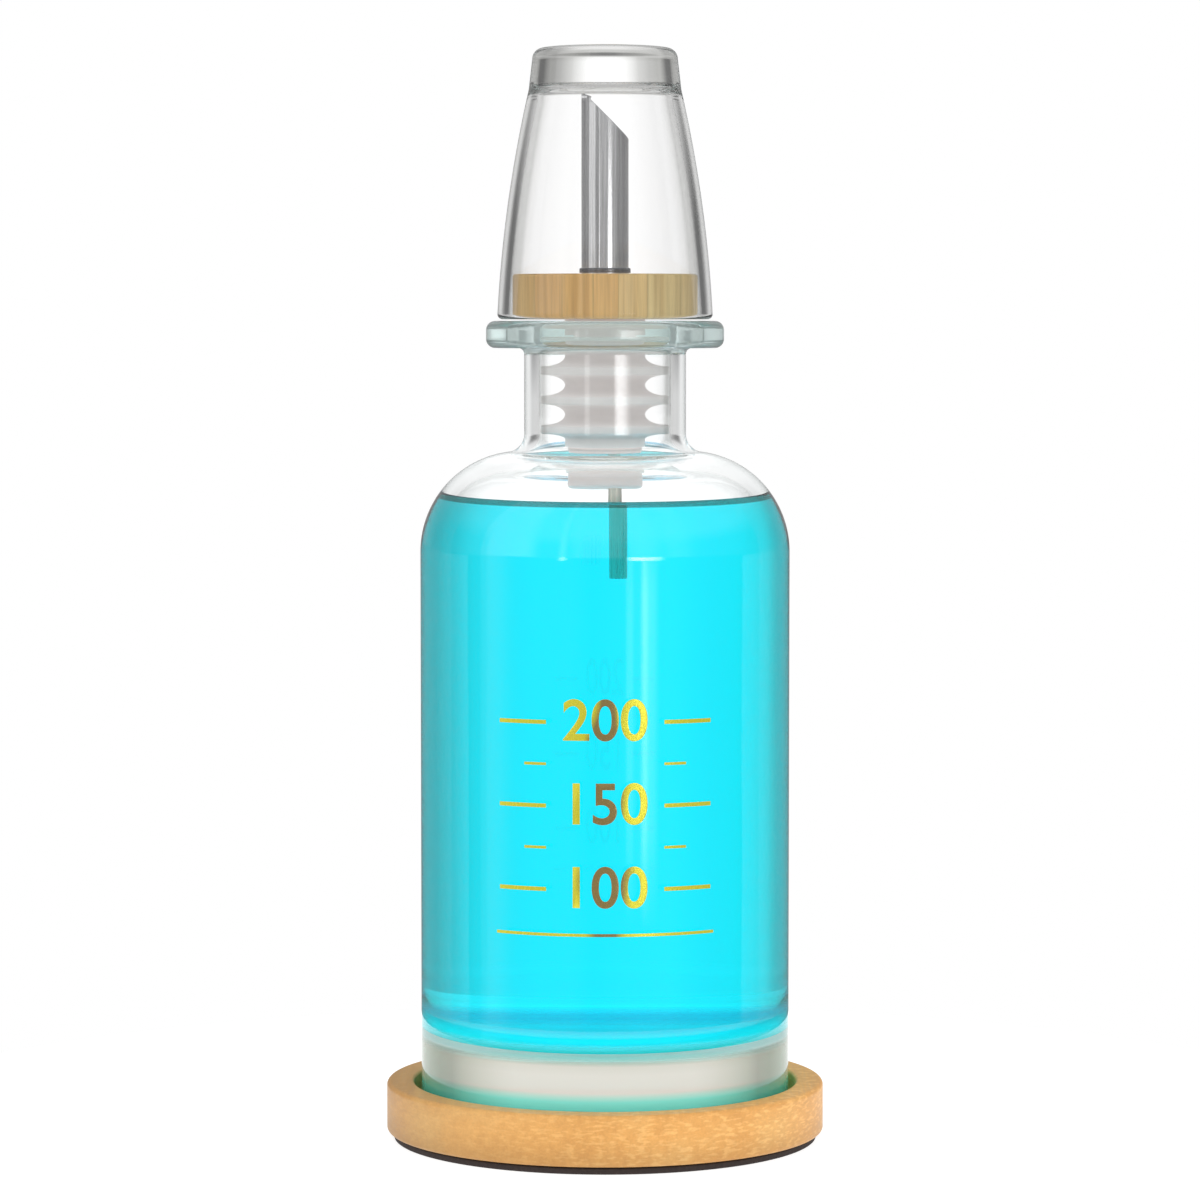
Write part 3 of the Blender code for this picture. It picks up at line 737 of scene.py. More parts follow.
@dataclass(frozen=True)
class SteelFinish(Finish):
    """Drawn steel with fine upright lines."""

    tone: Colour
    roughness: float

    def dress(self, sheet: Sheet) -> None:
        """Wires the steel and its lines."""
        line = sheet.noise(sheet.place((1.0, 1.0, 0.02)), scale=3200.0, detail=2.0)
        darker = tuple(part * 0.78 for part in self.tone)
        sheet.principled({
            "Base Color": sheet.ramp(line, [(0.32, darker), (0.62, self.tone)]),
            "Metallic": 1.0,
            "Roughness": sheet.fade(line, self.roughness * 0.8, self.roughness * 1.25),
            "Normal": sheet.bump(line, strength=0.12, depth=0.00004),
        })


@dataclass(frozen=True)
class MilkyFinish(Finish):
    """Milky translucent silicone or plastic, with painted shade a little darker near the axis than beyond its
    reach, and an even painted glow that lifts its shade.
    """

    tone: Colour
    roughness: float
    softness: float
    glow: Colour
    reach: Point = (0.0, MM)

    def dress(self, sheet: Sheet) -> None:
        """Wires the cloudy body and its skin."""
        where = sheet.place()
        cloud = sheet.noise(where, scale=260.0, detail=3.0)
        skin = sheet.noise(where, scale=2400.0, detail=2.0)
        greyer = tuple(part * 0.9 for part in self.tone)
        tone = sheet.ramp(cloud, [(0.3, greyer), (0.7, self.tone)])
        # Painted shade near the axis, in the grooves; painted glow from the emission, though it is no lamp.
        sheet.principled({
            "Base Color": sheet.tinted(tone, sheet.fade(sheet.from_axis(), 0.74, 1.0, *self.reach)),
            "Roughness": sheet.fade(skin, self.roughness * 0.85, self.roughness * 1.15),
            "Subsurface Weight": 0.6,
            "Subsurface Scale": self.softness,
            "Subsurface Radius": (1.0, 1.0, 0.95),
            "Emission Color": rgba(self.glow),
            "Emission Strength": 1.0,
            "Normal": sheet.bump(skin, strength=0.1, depth=0.00006),
        })


@dataclass(frozen=True)
class RubberFinish(Finish):
    """Matt dark rubber with a fine stipple."""

    tone: Colour

    def dress(self, sheet: Sheet) -> None:
        """Wires the rubber and its stipple."""
        stipple = sheet.noise(sheet.place(), scale=1800.0, detail=3.0)
        lighter = tuple(part * 1.6 for part in self.tone)
        sheet.principled({
            "Base Color": sheet.ramp(stipple, [(0.35, self.tone), (0.7, lighter)]),
            "Roughness": sheet.fade(stipple, 0.75, 0.95),
            "Normal": sheet.bump(stipple, strength=0.4, depth=0.0001),
        })


@dataclass(frozen=True)
class GoldFoilFinish(Finish):
    """Hot-pressed gold foil, brown in the middle and bright yellow beyond it, with soft patches of both."""

    bright: Colour
    deep: Colour
    middle: float

    def dress(self, sheet: Sheet) -> None:
        """Wires the foil's two tones and its fine speck."""
        where = sheet.place((1.0, 1.0, 0.5))
        patch = sheet.noise(where, scale=160.0, detail=0.0)
        across = sheet.calc("ABSOLUTE", sheet.split(where)["X"])
        beyond = sheet.fade(across, 0.0, 1.0, 0.0, self.middle)
        side = sheet.calc("ADD", beyond, sheet.fade(patch, -0.5, 0.5))
        speck = sheet.noise(where, scale=2200.0, detail=2.0)
        sheet.principled({
            "Base Color": sheet.ramp(side, [(0.36, self.deep), (0.62, self.bright)]),
            "Metallic": 0.55,
            "Roughness": sheet.fade(speck, 0.18, 0.34),
            "Normal": sheet.bump(speck, strength=0.15, depth=0.00003),
        })


class Workshop:
    """Holds the geometry node trees and makes pieces with them."""

    def __init__(self) -> None:
        """Builds each tree once."""
        self.turning = turning_tree()
        self.fins = fin_tree()
        self.marks = mark_tree()

    def turn(
        self, name: str, profile: Profile, finish: Finish,
        segments: int = FINE_SEGMENTS, closed: bool = False,
    ) -> bpy.types.Object:
        """Turns a profile into a piece.

        Args:
            name: The piece's name.
            profile: Its profile, from axis to axis, or round a ring.
            finish: What it is dressed in.
            segments: Facets round the piece.
            closed: Whether the profile is a ring's.

        Returns:
            The piece, at the origin with its place in its mesh.
        """
        start = outline_mesh([(profile, closed)])
        return piece_of(self.turning.run(name, start, finish.material(), Segments=segments))


def reshape(piece: bpy.types.Object, move: Callable[[Vector], Vector]) -> None:
    """Moves every point of a piece's mesh by a rule."""
    for vertex in piece.data.vertices:
        vertex.co = move(vertex.co)
    piece.data.update()


def seat(piece: bpy.types.Object, body: Body, node: str = "") -> None:
    """Seats a piece on its body and reports it.

    Args:
        piece: The piece.
        body: The body that it rides on.
        node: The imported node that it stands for, if any.
    """
    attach(piece, body.value)
    if node:
        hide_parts(node)
    heights = [vertex.co.z / MM for vertex in piece.data.vertices]
    report = (piece.name, body.value, len(piece.data.polygons), min(heights), max(heights))
    LOG.info("%s on %s: %d faces, %.1f to %.1f mm high", *report)


@dataclass
class Tray:
    """Round bamboo tray on a thin dark disc, with a recess for the bottle."""

    shop: Workshop
    rim_width: float = 5.2 * MM
    recess_depth: float = 5.0 * MM
    rim_round: float = 0.9 * MM
    foot_round: float = 0.7 * MM
    recess_edge_round: float = 0.6 * MM
    recess_floor_round: float = 0.8 * MM
    disc_edge_round: float = 0.3 * MM
    bamboo: BambooFinish = BambooFinish(
        "tray_bamboo", Grain.DEPTHWISE,
        ((0.86, 0.455, 0.135), (0.97, 0.53, 0.167), (1.0, 0.60, 0.215)),
        strip_width=19.0 * MM, strip_shift=4.0 * MM, strip_contrast=0.15,
        fleck=0.60, fibre=0.18, streak=0.18, dash=(0.28, 0.28, 1.0),
        # Painted shade: the tray darker towards its left side and its bottom edge.
        sides=((-0.042, 0.60), (-0.025, 0.785), (-0.014, 0.875), (0.0, 0.90), (0.012, 0.97), (0.042, 1.0)),
        foot=((0.0015, 0.76), (0.0030, 0.80), (0.0045, 0.90), (0.0070, 1.0), (0.011, 1.0)),
    )
    rubber: RubberFinish = RubberFinish("disc_rubber", (0.030, 0.021, 0.019))

    def build(self) -> None:
        """Turns the disc and the tray."""
        low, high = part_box("non_slip_disc")
        disc = rounded([
            (0.0, high.z, 0.0),
            (high.x, high.z, self.disc_edge_round),
            (high.x, low.z, self.disc_edge_round),
            (0.0, low.z, 0.0),
        ])
        seat(self.shop.turn("disc_under_tray", disc, self.rubber), Body.TRAY, "non_slip_disc")
        low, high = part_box("bamboo_tray")
        recess = high.x - self.rim_width
        floor = high.z - self.recess_depth
        board = rounded([
            (0.0, floor, 0.0),
            (recess, floor, self.recess_floor_round),
            (recess, high.z, self.recess_edge_round),
            (high.x, high.z, self.rim_round),
            (high.x, low.z, self.foot_round),
            (0.0, low.z, 0.0),
        ])
        seat(self.shop.turn("turned_tray", board, self.bamboo), Body.TRAY, "bamboo_tray")


@dataclass
class Bottle:
    """Thick-based glass bottle with its mouthwash; GoldMarks makes its gold measuring marks."""

    shop: Workshop
    body_radius: float = 35.0 * MM
    wall: float = 2.8 * MM
    base_thickness: float = 14.3 * MM
    floor_round: float = 4.5 * MM
    heel_round: float = 3.0 * MM
    base_ring_width: float = 5.0 * MM
    punt_depth: float = 1.0 * MM
    punt_round: float = 0.6 * MM
    shoulder_start: float = 105.5 * MM
    shoulder_round: float = 19.0 * MM
    neck_radius: float = 15.3 * MM
    root_round: float = 3.5 * MM
    lip_overhang: float = 7.2 * MM
    lip_thickness: float = 5.1 * MM
    lip_edge_round: float = 1.7 * MM
    lip_root_round: float = 1.2 * MM
    mouth_round: float = 0.8 * MM
    liquid_lap: float = 0.08 * MM
    meniscus: float = 1.1 * MM
    meniscus_shares: tuple[float, ...] = (1.0, 0.8, 0.6, 0.45, 0.3, 0.2, 0.1)
    meniscus_reach: float = 3.3 * MM
    # Painted shade of the liquid's outline, by slant.
    liquid_painted_slant_shade: tuple[Stop, ...] = (
        (0.0, 1.0), (0.04, 0.985), (0.07, 0.96), (0.10, 0.945), (0.14, (0.92, 0.92, 0.915)),
        (0.163, (0.875, 0.875, 0.87)), (0.188, (0.82, 0.82, 0.81)), (0.245, (0.65, 0.65, 0.63)),
        (0.315, (0.62, 0.62, 0.58)),
    )
    # Painted light and shade: darker by slant, a mint line and pale hazy band at the base, a lip tint, and a
    # glow at the neck's root.
    glass: GlassFinish = GlassFinish(
        "bottle_glass", body=(0.80, 0.97, 0.95), density=5.0,
        painted_slant_shade=((0.42, 1.0), (0.70, (0.93, 0.95, 0.95)), (1.0, (0.74, 0.80, 0.79))),
        painted_height_bands=(
            (0.0126, (0.30, 1.0, 0.90)), (0.0138, (1.0, 0.905, 0.86)), (0.0175, (0.97, 0.87, 0.82)),
            (0.0190, (0.86, 0.76, 0.70)), (0.0202, (0.80, 0.72, 0.67)), (0.0206, 1.0), (0.1490, 1.0),
            (0.1510, (0.81, 0.91, 0.90)),
        ),
        frost=((0.0078, 0.45), (0.0086, 0.0)),
        clearness=((0.0190, 0.28), (0.0204, 1.0), (0.1492, 1.0), (0.1504, 0.80)),
        glow=(
            (0.1208, 0.0), (0.1225, 0.025), (0.1240, 0.07), (0.1262, 0.05), (0.1275, 0.11), (0.1305, 0.12),
            (0.1330, 0.0),
        ),
        zones=(
            GlassZone(low=-0.001, high=0.0200, painted_slant_shade=(
                (0.14, 1.0), (0.20, (0.94, 0.94, 0.93)), (0.286, (0.81, 0.82, 0.79)),
                (0.374, (0.66, 0.67, 0.63)), (0.457, (0.48, 0.49, 0.45)), (0.564, (0.42, 0.46, 0.40)),
                (0.90, (0.46, 0.56, 0.46)),
            )),
            GlassZone(low=0.1290, high=RAMP_TOP, beyond=0.0140, painted_slant_shade=(
                (0.29, 1.0), (0.34, (0.60, 0.60, 0.59)), (0.42, (0.60, 0.60, 0.59)), (0.50, 0.92),
                (0.70, (0.97, 0.98, 0.98)), (1.0, (0.80, 0.86, 0.85)),
            )),
        ),
    )

    def __post_init__(self) -> None:
        """Works out the places that follow from the sizes and the frame."""
        low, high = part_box("glass_bottle")
        self.base = low.z
        self.top = high.z
        self.lip_radius = self.neck_radius + self.lip_overhang
        self.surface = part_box("mouthwash")[1].z
        shift = self.neck_radius + self.root_round - (self.body_radius - self.shoulder_round)
        rise = math.sqrt((self.shoulder_round + self.root_round) ** 2 - shift ** 2)
        self.shoulder = (self.body_radius - self.shoulder_round, self.base + self.shoulder_start)
        self.root = (self.shoulder[0] + shift, self.shoulder[1] + rise)
        self.slope = math.atan2(rise, shift)
        # The liquid's painted dark line at its surface, and the painted tint and glow of its floor.
        self.liquid = LiquidFinish(
            "mouthwash_liquid", painted_slant_shade=self.liquid_painted_slant_shade, dye=(0.001, 0.9815, 0.9998), density=164.0,
            surface=self.surface, line=(0.03, 0.12, 0.10), floor=self.base + self.base_thickness,
            floor_tone=(0.14, 0.94, 1.0), floor_glow=(0.0, 0.37, 0.42),
        )
        self.floor_corner = (
            self.body_radius - self.wall - self.floor_round,
            self.base + self.base_thickness + self.floor_round,
        )

    def outline(self) -> Profile:
        """The bottle's profile, from the floor inside, over the lip, to the middle of the base."""
        bore = self.neck_radius - self.wall
        under_lip = self.top - self.lip_thickness
        punt_radius = self.body_radius - self.heel_round - self.base_ring_width
        inside = [
            *arc(self.floor_corner, self.floor_round, -QUARTER, 0.0),
            *arc(self.shoulder, self.shoulder_round - self.wall, 0.0, self.slope),
            *arc(self.root, self.root_round + self.wall, math.pi + self.slope, math.pi)[1:],
        ]
        mouth = rounded([
            (bore, self.root[1], 0.0),
            (bore, self.top, self.mouth_round),
            (self.lip_radius, self.top, self.lip_edge_round),
            (self.lip_radius, under_lip, self.lip_edge_round),
            (self.neck_radius, under_lip, self.lip_root_round),
            (self.neck_radius, self.root[1], 0.0),
        ])
        base = rounded([
            (self.body_radius, self.shoulder[1], 0.0),
            (self.body_radius, self.base, self.heel_round),
            (punt_radius, self.base, self.punt_round),
            (punt_radius - self.punt_depth * 2, self.base + self.punt_depth, self.punt_round * 2),
            (0.0, self.base + self.punt_depth, 0.0),
        ])
        return [
            (0.0, self.base + self.base_thickness),
            *inside,
            *mouth[1:],
            *arc(self.root, self.root_round, math.pi, math.pi + self.slope)[1:],
            *arc(self.shoulder, self.shoulder_round, self.slope, 0.0)[1:],
            *base[1:],
        ]

    def fill_outline(self) -> Profile:
        """The mouthwash's profile: it laps into the glass by a hair and climbs the wall a little."""
        reach = self.shoulder_round - self.wall + self.liquid_lap
        wet = math.asin((self.surface + self.meniscus - self.shoulder[1]) / reach)
        rim = self.shoulder[0] + reach * math.cos(wet)
        rise = [
            (rim - self.meniscus_reach * share, self.surface + self.meniscus * (1 - share) ** 2)
            for share in self.meniscus_shares
        ]
        return [
            (0.0, self.surface),
            *rise,
            *arc(self.shoulder, reach, wet, 0.0),
            *arc(self.floor_corner, self.floor_round + self.liquid_lap, 0.0, -QUARTER),
            (0.0, self.floor_corner[1] - self.floor_round - self.liquid_lap),
        ]

    def height_of(self, volume: float) -> float:
        """Height of the surface at a volume, with the floor's rounded corner allowed for."""
        inner = self.body_radius - self.wall
        corner = (1 - math.pi / 4) * self.floor_round ** 2 * math.tau * (inner - self.floor_round / 4)
        return self.base + self.base_thickness + (volume + corner) / (math.pi * inner ** 2)

    def build(self) -> None:
        """Turns the bottle and its mouthwash."""
        shell = self.shop.turn("bottle_shell", self.outline(), self.glass)
        seat(shell, Body.BOTTLE, "glass_bottle")
        fill = self.shop.turn("mouthwash_fill", self.fill_outline(), self.liquid)
        seat(fill, Body.BOTTLE, "mouthwash")


@dataclass
class GoldMarks:
    """A plain measuring scale in gold foil on the bottle's front, over a thin rule."""

    shop: Workshop
    bottle: Bottle
    volumes_ml: tuple[int, ...] = (100, 150, 200)
    digit_height: float = 7.6 * MM
    line_width: float = 0.75 * MM
    short_line_width: float = 0.5 * MM
    rule_width: float = 0.55 * MM
    thickness: float = 0.10 * MM
    sink: float = 0.02 * MM
    long_reach: float = math.radians(33.5)
    short_reach: float = math.radians(25.0)
    side_start: float = math.radians(18.0)
    rule_reach: float = math.radians(34.6)
    rule_height: float = 43.2 * MM
    slice_width: float = 0.45 * MM
    letter_share: float = 1.4
    boldness_share: float = 0.14
    relief_share: float = 0.3
    bevel_share: float = 0.4
    foil: GoldFoilFinish = GoldFoilFinish(
        "gold_foil", bright=(0.93, 0.86, 0.07), deep=(0.38, 0.27, 0.10), middle=6.0 * MM
    )

    def lines(self, name: str, start: float, end: float, width: float, height: float,
              rise: float, rows: int, sides: int) -> bpy.types.Mesh:
        """Curved marks on the bottle's wall.

        Args:
            name: The mesh's name.
            start: Angle from the front to a mark's near end.
            end: Angle from the front to its far end.
            width: The mark's upright width.
            height: Height of the lowest row.
            rise: Height from row to row.
            rows: How many rows.
            sides: One mark across the front, or two beside it.

        Returns:
            The marks' mesh.
        """
        radius = self.bottle.body_radius + self.thickness / 2 - self.sink
        return self.shop.marks.run(
            name, outline_mesh([([(0.0, 0.0), (0.0, MM)], False)]), self.material,
            Radius=radius, Start=FRONT - end, Sweep=end - start, Width=width, Thickness=self.thickness,
            Height=height, Rise=rise, Rows=rows, Sides=sides, Side_Turn=start + end,
        )

    def number(self, text: str, height: float) -> bpy.types.Mesh:
        """A plain number, cut in narrow slices and bent round the bottle's wall.

        Args:
            text: The number.
            height: Height of its middle.

        Returns:
            The number's mesh, in place.
        """
        curve = bpy.data.curves.new("number_" + text, "FONT")
        curve.body = text
        curve.align_x = "CENTER"
        curve.align_y = "CENTER"
        curve.size = self.digit_height * self.letter_share
        curve.extrude = self.thickness * self.relief_share
        curve.bevel_depth = self.thickness * self.bevel_share
        curve.bevel_resolution = 2
        curve.offset = self.line_width * self.boldness_share
        mesh = plain_mesh(put_in_scene(curve.name, curve))
        shape = bmesh.new()
        shape.from_mesh(mesh)
        bmesh.ops.remove_doubles(shape, verts=shape.verts, dist=WELD_DISTANCE)
        side = max(abs(vertex.co.x) for vertex in shape.verts)
        for i in range(1, math.ceil(side * 2 / self.slice_width)):
            everything = [*shape.verts, *shape.edges, *shape.faces]
            place = (i * self.slice_width - side, 0.0, 0.0)
            bmesh.ops.bisect_plane(shape, geom=everything, plane_co=place, plane_no=(1.0, 0.0, 0.0))
        wall = self.bottle.body_radius
        middle = wall + self.thickness * (self.relief_share + self.bevel_share) - self.sink
        for vertex in shape.verts:
            angle = FRONT + vertex.co.x / wall
            radius = middle + vertex.co.z
            vertex.co = (radius * math.cos(angle), radius * math.sin(angle), height + vertex.co.y)
        shape.to_mesh(mesh)
        shape.free()
        return mesh

    def build(self) -> None:
        """Makes the rule, the scale's lines and its numbers as one piece."""
        self.material = self.foil.material()
        heights = [self.bottle.height_of(volume * ML) for volume in self.volumes_ml]
        pitch = heights[1] - heights[0]
        meshes = [
            self.lines("rule", -self.rule_reach, self.rule_reach, self.rule_width,
                       self.rule_height, 0.0, 1, 1),
            self.lines("long_lines", self.side_start, self.long_reach, self.line_width,
                       heights[0], pitch, len(heights), 2),
            self.lines("short_lines", self.side_start, self.short_reach, self.short_line_width,
                       heights[0] + pitch / 2, pitch, len(heights) - 1, 2),
        ]
        meshes += [self.number(str(ml), z) for ml, z in zip(self.volumes_ml, heights)]
        shape = bmesh.new()
        for mesh in meshes:
            shape.from_mesh(mesh)
        joined = finished_mesh("gold_scale", shape)
        joined.materials.append(self.material)
        joined.polygons.foreach_set("material_index", [0] * len(joined.polygons))
        shade(joined)
        seat(piece_of(joined), Body.BOTTLE)


@dataclass
class Stopper:
    """Soft finned sleeve that grips the neck."""

    shop: Workshop
    fins: int = 4
    pitch: float = 5.55 * MM
    tip: float = 1.6 * MM
    tip_round: float = 0.35 * MM
    root_drop: float = 1.45 * MM
    bore: float = 6.2 * MM
    stem: float = 7.6 * MM
    segments: int = 128
    groove_steps: int = 32
    # Painted shade in the grooves between the fins, and a painted glow.
    silicone: MilkyFinish = MilkyFinish(
        "sleeve_silicone", (0.74, 0.72, 0.71), roughness=0.38, softness=0.004, glow=(0.225, 0.21, 0.205),
        reach=(8.0 * MM, 14.6 * MM),
    )

    def groove(self, top: float, half: float, sweep: float) -> Profile:
        """Round groove under a fin, over half a turn to the next fin, or a quarter to the stem."""
        rim = self.radius - self.tip_round
        depth = rim - self.stem
        count = round(self.groove_steps * sweep / math.pi)
        angles = [sweep * i / count for i in range(1, count)]
        return [(rim - depth * math.sin(a), top - half * (1 - math.cos(a))) for a in angles]

    def tip_corner(self, height: float, below: bool) -> Profile:
        """The round edge of a fin's tip, at its lower or its upper corner, read from top to bottom."""
        centre = (self.radius - self.tip_round, height + (self.tip_round if below else -self.tip_round))
        ends = (0.0, -QUARTER) if below else (QUARTER, 0.0)
        return arc(centre, self.tip_round, *ends)

    def build(self) -> None:
        """Repeats the fins down the sleeve and turns it."""
        low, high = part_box("fin_sleeve")
        self.radius = high.x
        half = (self.pitch - self.tip) / 2
        middle = high.z - self.tip / 2
        under = high.z - self.tip
        period = [
            (self.radius, middle),
            *self.tip_corner(under, below=True),
            *self.groove(under, half, math.pi),
            *self.tip_corner(high.z - self.pitch, below=False),
            (self.radius, middle - self.pitch),
        ]
        last = self.pitch * (self.fins - 1)
        rest = [
            (self.radius, middle - last),
            *self.tip_corner(under - last, below=True),
            *self.groove(under - last, self.root_drop, QUARTER),
            (self.stem, under - last - self.root_drop),
            (self.stem, low.z),
            (self.bore, low.z),
            (self.bore, high.z),
            *self.tip_corner(high.z, below=False),
            (self.radius, middle),
        ]
        mesh = self.shop.fins.run(
            "finned_sleeve", outline_mesh([(period, False), (rest, False)], [True, False]),
            self.silicone.material(), Segments=self.segments, Fins=self.fins - 1, Pitch=self.pitch,
        )
        seat(piece_of(mesh), Body.STOPPER, "fin_sleeve")


@dataclass
class PourHead:
    """Core, air tube, bamboo collar, slant-cut spout and ferrule, which turn and lift together."""

    shop: Workshop
    stem: float = 5.9 * MM
    nose: float = 7.1 * MM
    nose_length: float = 4.8 * MM
    nose_round: float = 0.8 * MM
    floor: float = 2.0 * MM
    boss: float = 7.6 * MM
    boss_drop: float = 3.0 * MM
    edge_round: float = 0.3 * MM
    tube_radius: float = 1.3 * MM
    tube_wall: float = 0.4 * MM
    tube_offset: float = 1.9 * MM
    inlet_radius: float = 1.8 * MM
    inlet_offset: float = 2.1 * MM
    spout_radius: float = 4.45 * MM
    spout_wall: float = 0.4 * MM
    spout_slant: float = math.radians(45.5)
    cut_round: float = 0.12 * MM
    collar_edge_round: float = 0.5 * MM
    collar_top: float = 1.8 * MM
    ferrule_radius: float = 4.85 * MM
    ferrule_height: float = 0.9 * MM
    ferrule_round: float = 0.2 * MM
    tube_segments: int = 48
    drill_segments: int = 32
    # A painted glow lifts the core's shade.
    plastic: MilkyFinish = MilkyFinish(
        "core_plastic", (0.50, 0.43, 0.41), roughness=0.34, softness=0.003, glow=(0.28, 0.24, 0.235),
    )
    # The collar keeps the default sides: painted shade, darker towards its left.
    bamboo: BambooFinish = BambooFinish(
        "collar_bamboo", Grain.UPRIGHT,
        ((0.74, 0.36, 0.10), (0.95, 0.61, 0.23), (1.0, 0.80, 0.40), (1.0, 0.76, 0.50)),
        strip_width=4.6 * MM, strip_shift=1.3 * MM, strip_contrast=0.88,
        fleck=0.08, fibre=0.35, streak=0.50, dash=(1.0, 1.0, 0.05),
    )
    spout_steel: SteelFinish = SteelFinish("spout_steel", (0.84, 0.84, 0.85), roughness=0.11)
    tube_steel: SteelFinish = SteelFinish("tube_steel", (0.74, 0.66, 0.54), roughness=0.28)
    ferrule_steel: SteelFinish = SteelFinish("ferrule_steel", (0.22, 0.22, 0.23), roughness=0.24)

    def build(self) -> None:
        """Makes the five pieces."""
        self.socket = self.spout_radius + SEAT_GAP
        self.build_core()
        self.build_tube()
        self.build_collar()
        self.build_spout()
        self.build_ferrule()

    def build_core(self) -> None:
        """Turns the core and drills its floor for the air tube and the inlet."""
        low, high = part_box("stopper_core")
        bore = self.spout_radius - self.spout_wall
        nose_top = low.z + self.nose_length
        boss_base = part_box("bamboo_collar")[0].z - self.boss_drop
        ledge = boss_base + SEAT_GAP
        profile = rounded([
            (0.0, low.z + self.floor, 0.0),
            (bore, low.z + self.floor, 0.0),
            (bore, ledge, 0.0),
            (self.socket, ledge, 0.0),
            (self.socket, high.z, 0.0),
            (self.boss, high.z, self.edge_round),
            (self.boss, boss_base, 0.0),
            (self.stem, boss_base, 0.0),
            (self.stem, nose_top, 0.0),
            (self.nose, nose_top, self.edge_round),
            (self.nose, low.z, self.nose_round),
            (0.0, low.z, 0.0),
        ])
        piece = self.shop.turn("stopper_plug", profile, self.plastic, SMALL_SEGMENTS)
        middle = low.z + self.floor / 2
        drills = [
            self.drill(self.tube_offset, self.tube_radius + SEAT_GAP, middle),
            self.drill(-self.inlet_offset, self.inlet_radius, middle),
        ]
        for drill in drills:
            cut = piece.modifiers.new("hole", "BOOLEAN")
            cut.operation = "DIFFERENCE"
            cut.solver = "EXACT"
            cut.object = drill
        solid = piece.data
        mesh = plain_mesh(piece)
        for drill in drills:
            bpy.data.objects.remove(drill, do_unlink=True)
        bpy.data.meshes.remove(solid)
        mesh.name = "stopper_plug"
        shade(mesh)
        seat(piece_of(mesh), Body.POUR_HEAD, "stopper_core")

    def drill(self, offset: float, radius: float, height: float) -> bpy.types.Object:
        """A round drill that passes through the core's floor."""
        shape = bmesh.new()
        bmesh.ops.create_cone(
            shape, cap_ends=True, segments=self.drill_segments, radius1=radius, radius2=radius,
            depth=self.floor * 2,
        )
        bmesh.ops.translate(shape, verts=shape.verts, vec=(offset, 0.0, height))
        return piece_of(finished_mesh("drill", shape))

    def tube_profile(self, radius: float, wall: float, low: float, high: float) -> Profile:
        """A tube's profile, with the edges of its cut ends rounded."""
        inner = radius - wall
        corners = ((radius, high), (radius, low), (inner, low), (inner, high))
        return rounded_ring([(r, z, self.cut_round) for r, z in corners])

    def build_tube(self) -> None:
        """Turns the air tube and shifts it to its side of the bore."""
        low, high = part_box("air_tube")
        profile = self.tube_profile(self.tube_radius, self.tube_wall, low.z, high.z)
        piece = self.shop.turn("vent_tube", profile, self.tube_steel, self.tube_segments, closed=True)
        reshape(piece, lambda co: co + Vector((self.tube_offset, 0.0, 0.0)))
        seat(piece, Body.POUR_HEAD, "air_tube")

    def build_collar(self) -> None:
        """Turns the bamboo collar with its pocket for the core."""
        low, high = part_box("bamboo_collar")
        pocket = self.boss + SEAT_GAP
        ceiling = high.z - self.collar_top
        profile = rounded_ring([
            (self.socket, high.z, self.edge_round),
            (high.x, high.z, self.collar_edge_round),
            (high.x, low.z, self.collar_edge_round),
            (pocket, low.z, 0.0),
            (pocket, ceiling, 0.0),
            (self.socket, ceiling, 0.0),
        ])
        piece = self.shop.turn("collar_ring", profile, self.bamboo, closed=True)
        seat(piece, Body.POUR_HEAD, "bamboo_collar")

    def build_spout(self) -> None:
        """Turns the spout's tube and shears its upper end down to the slant."""
        low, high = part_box("pour_spout")
        profile = self.tube_profile(self.spout_radius, self.spout_wall, low.z, high.z)
        piece = self.shop.turn("spout_tube", profile, self.spout_steel, SMALL_SEGMENTS, closed=True)
        length = high.z - low.z
        drop = math.tan(self.spout_slant) / length

        def sheared(co: Vector) -> Vector:
            """The point, lowered in step with its distance from the lip."""
            share = 1.0 - (self.spout_radius + co.x) * drop
            return Vector((co.x, co.y, low.z + (co.z - low.z) * share))

        reshape(piece, sheared)
        seat(piece, Body.POUR_HEAD, "pour_spout")

    def build_ferrule(self) -> None:
        """Turns the ring at the foot of the spout."""
        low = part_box("spout_ferrule")[0].z
        bore = self.spout_radius + FIT_GAP
        profile = rounded_ring([
            (bore, low + self.ferrule_height, 0.0),
            (self.ferrule_radius, low + self.ferrule_height, self.ferrule_round),
            (self.ferrule_radius, low, 0.0),
            (bore, low, 0.0),
        ])
        piece = self.shop.turn("ferrule_ring", profile, self.ferrule_steel, SMALL_SEGMENTS, closed=True)
        seat(piece, Body.POUR_HEAD, "spout_ferrule")


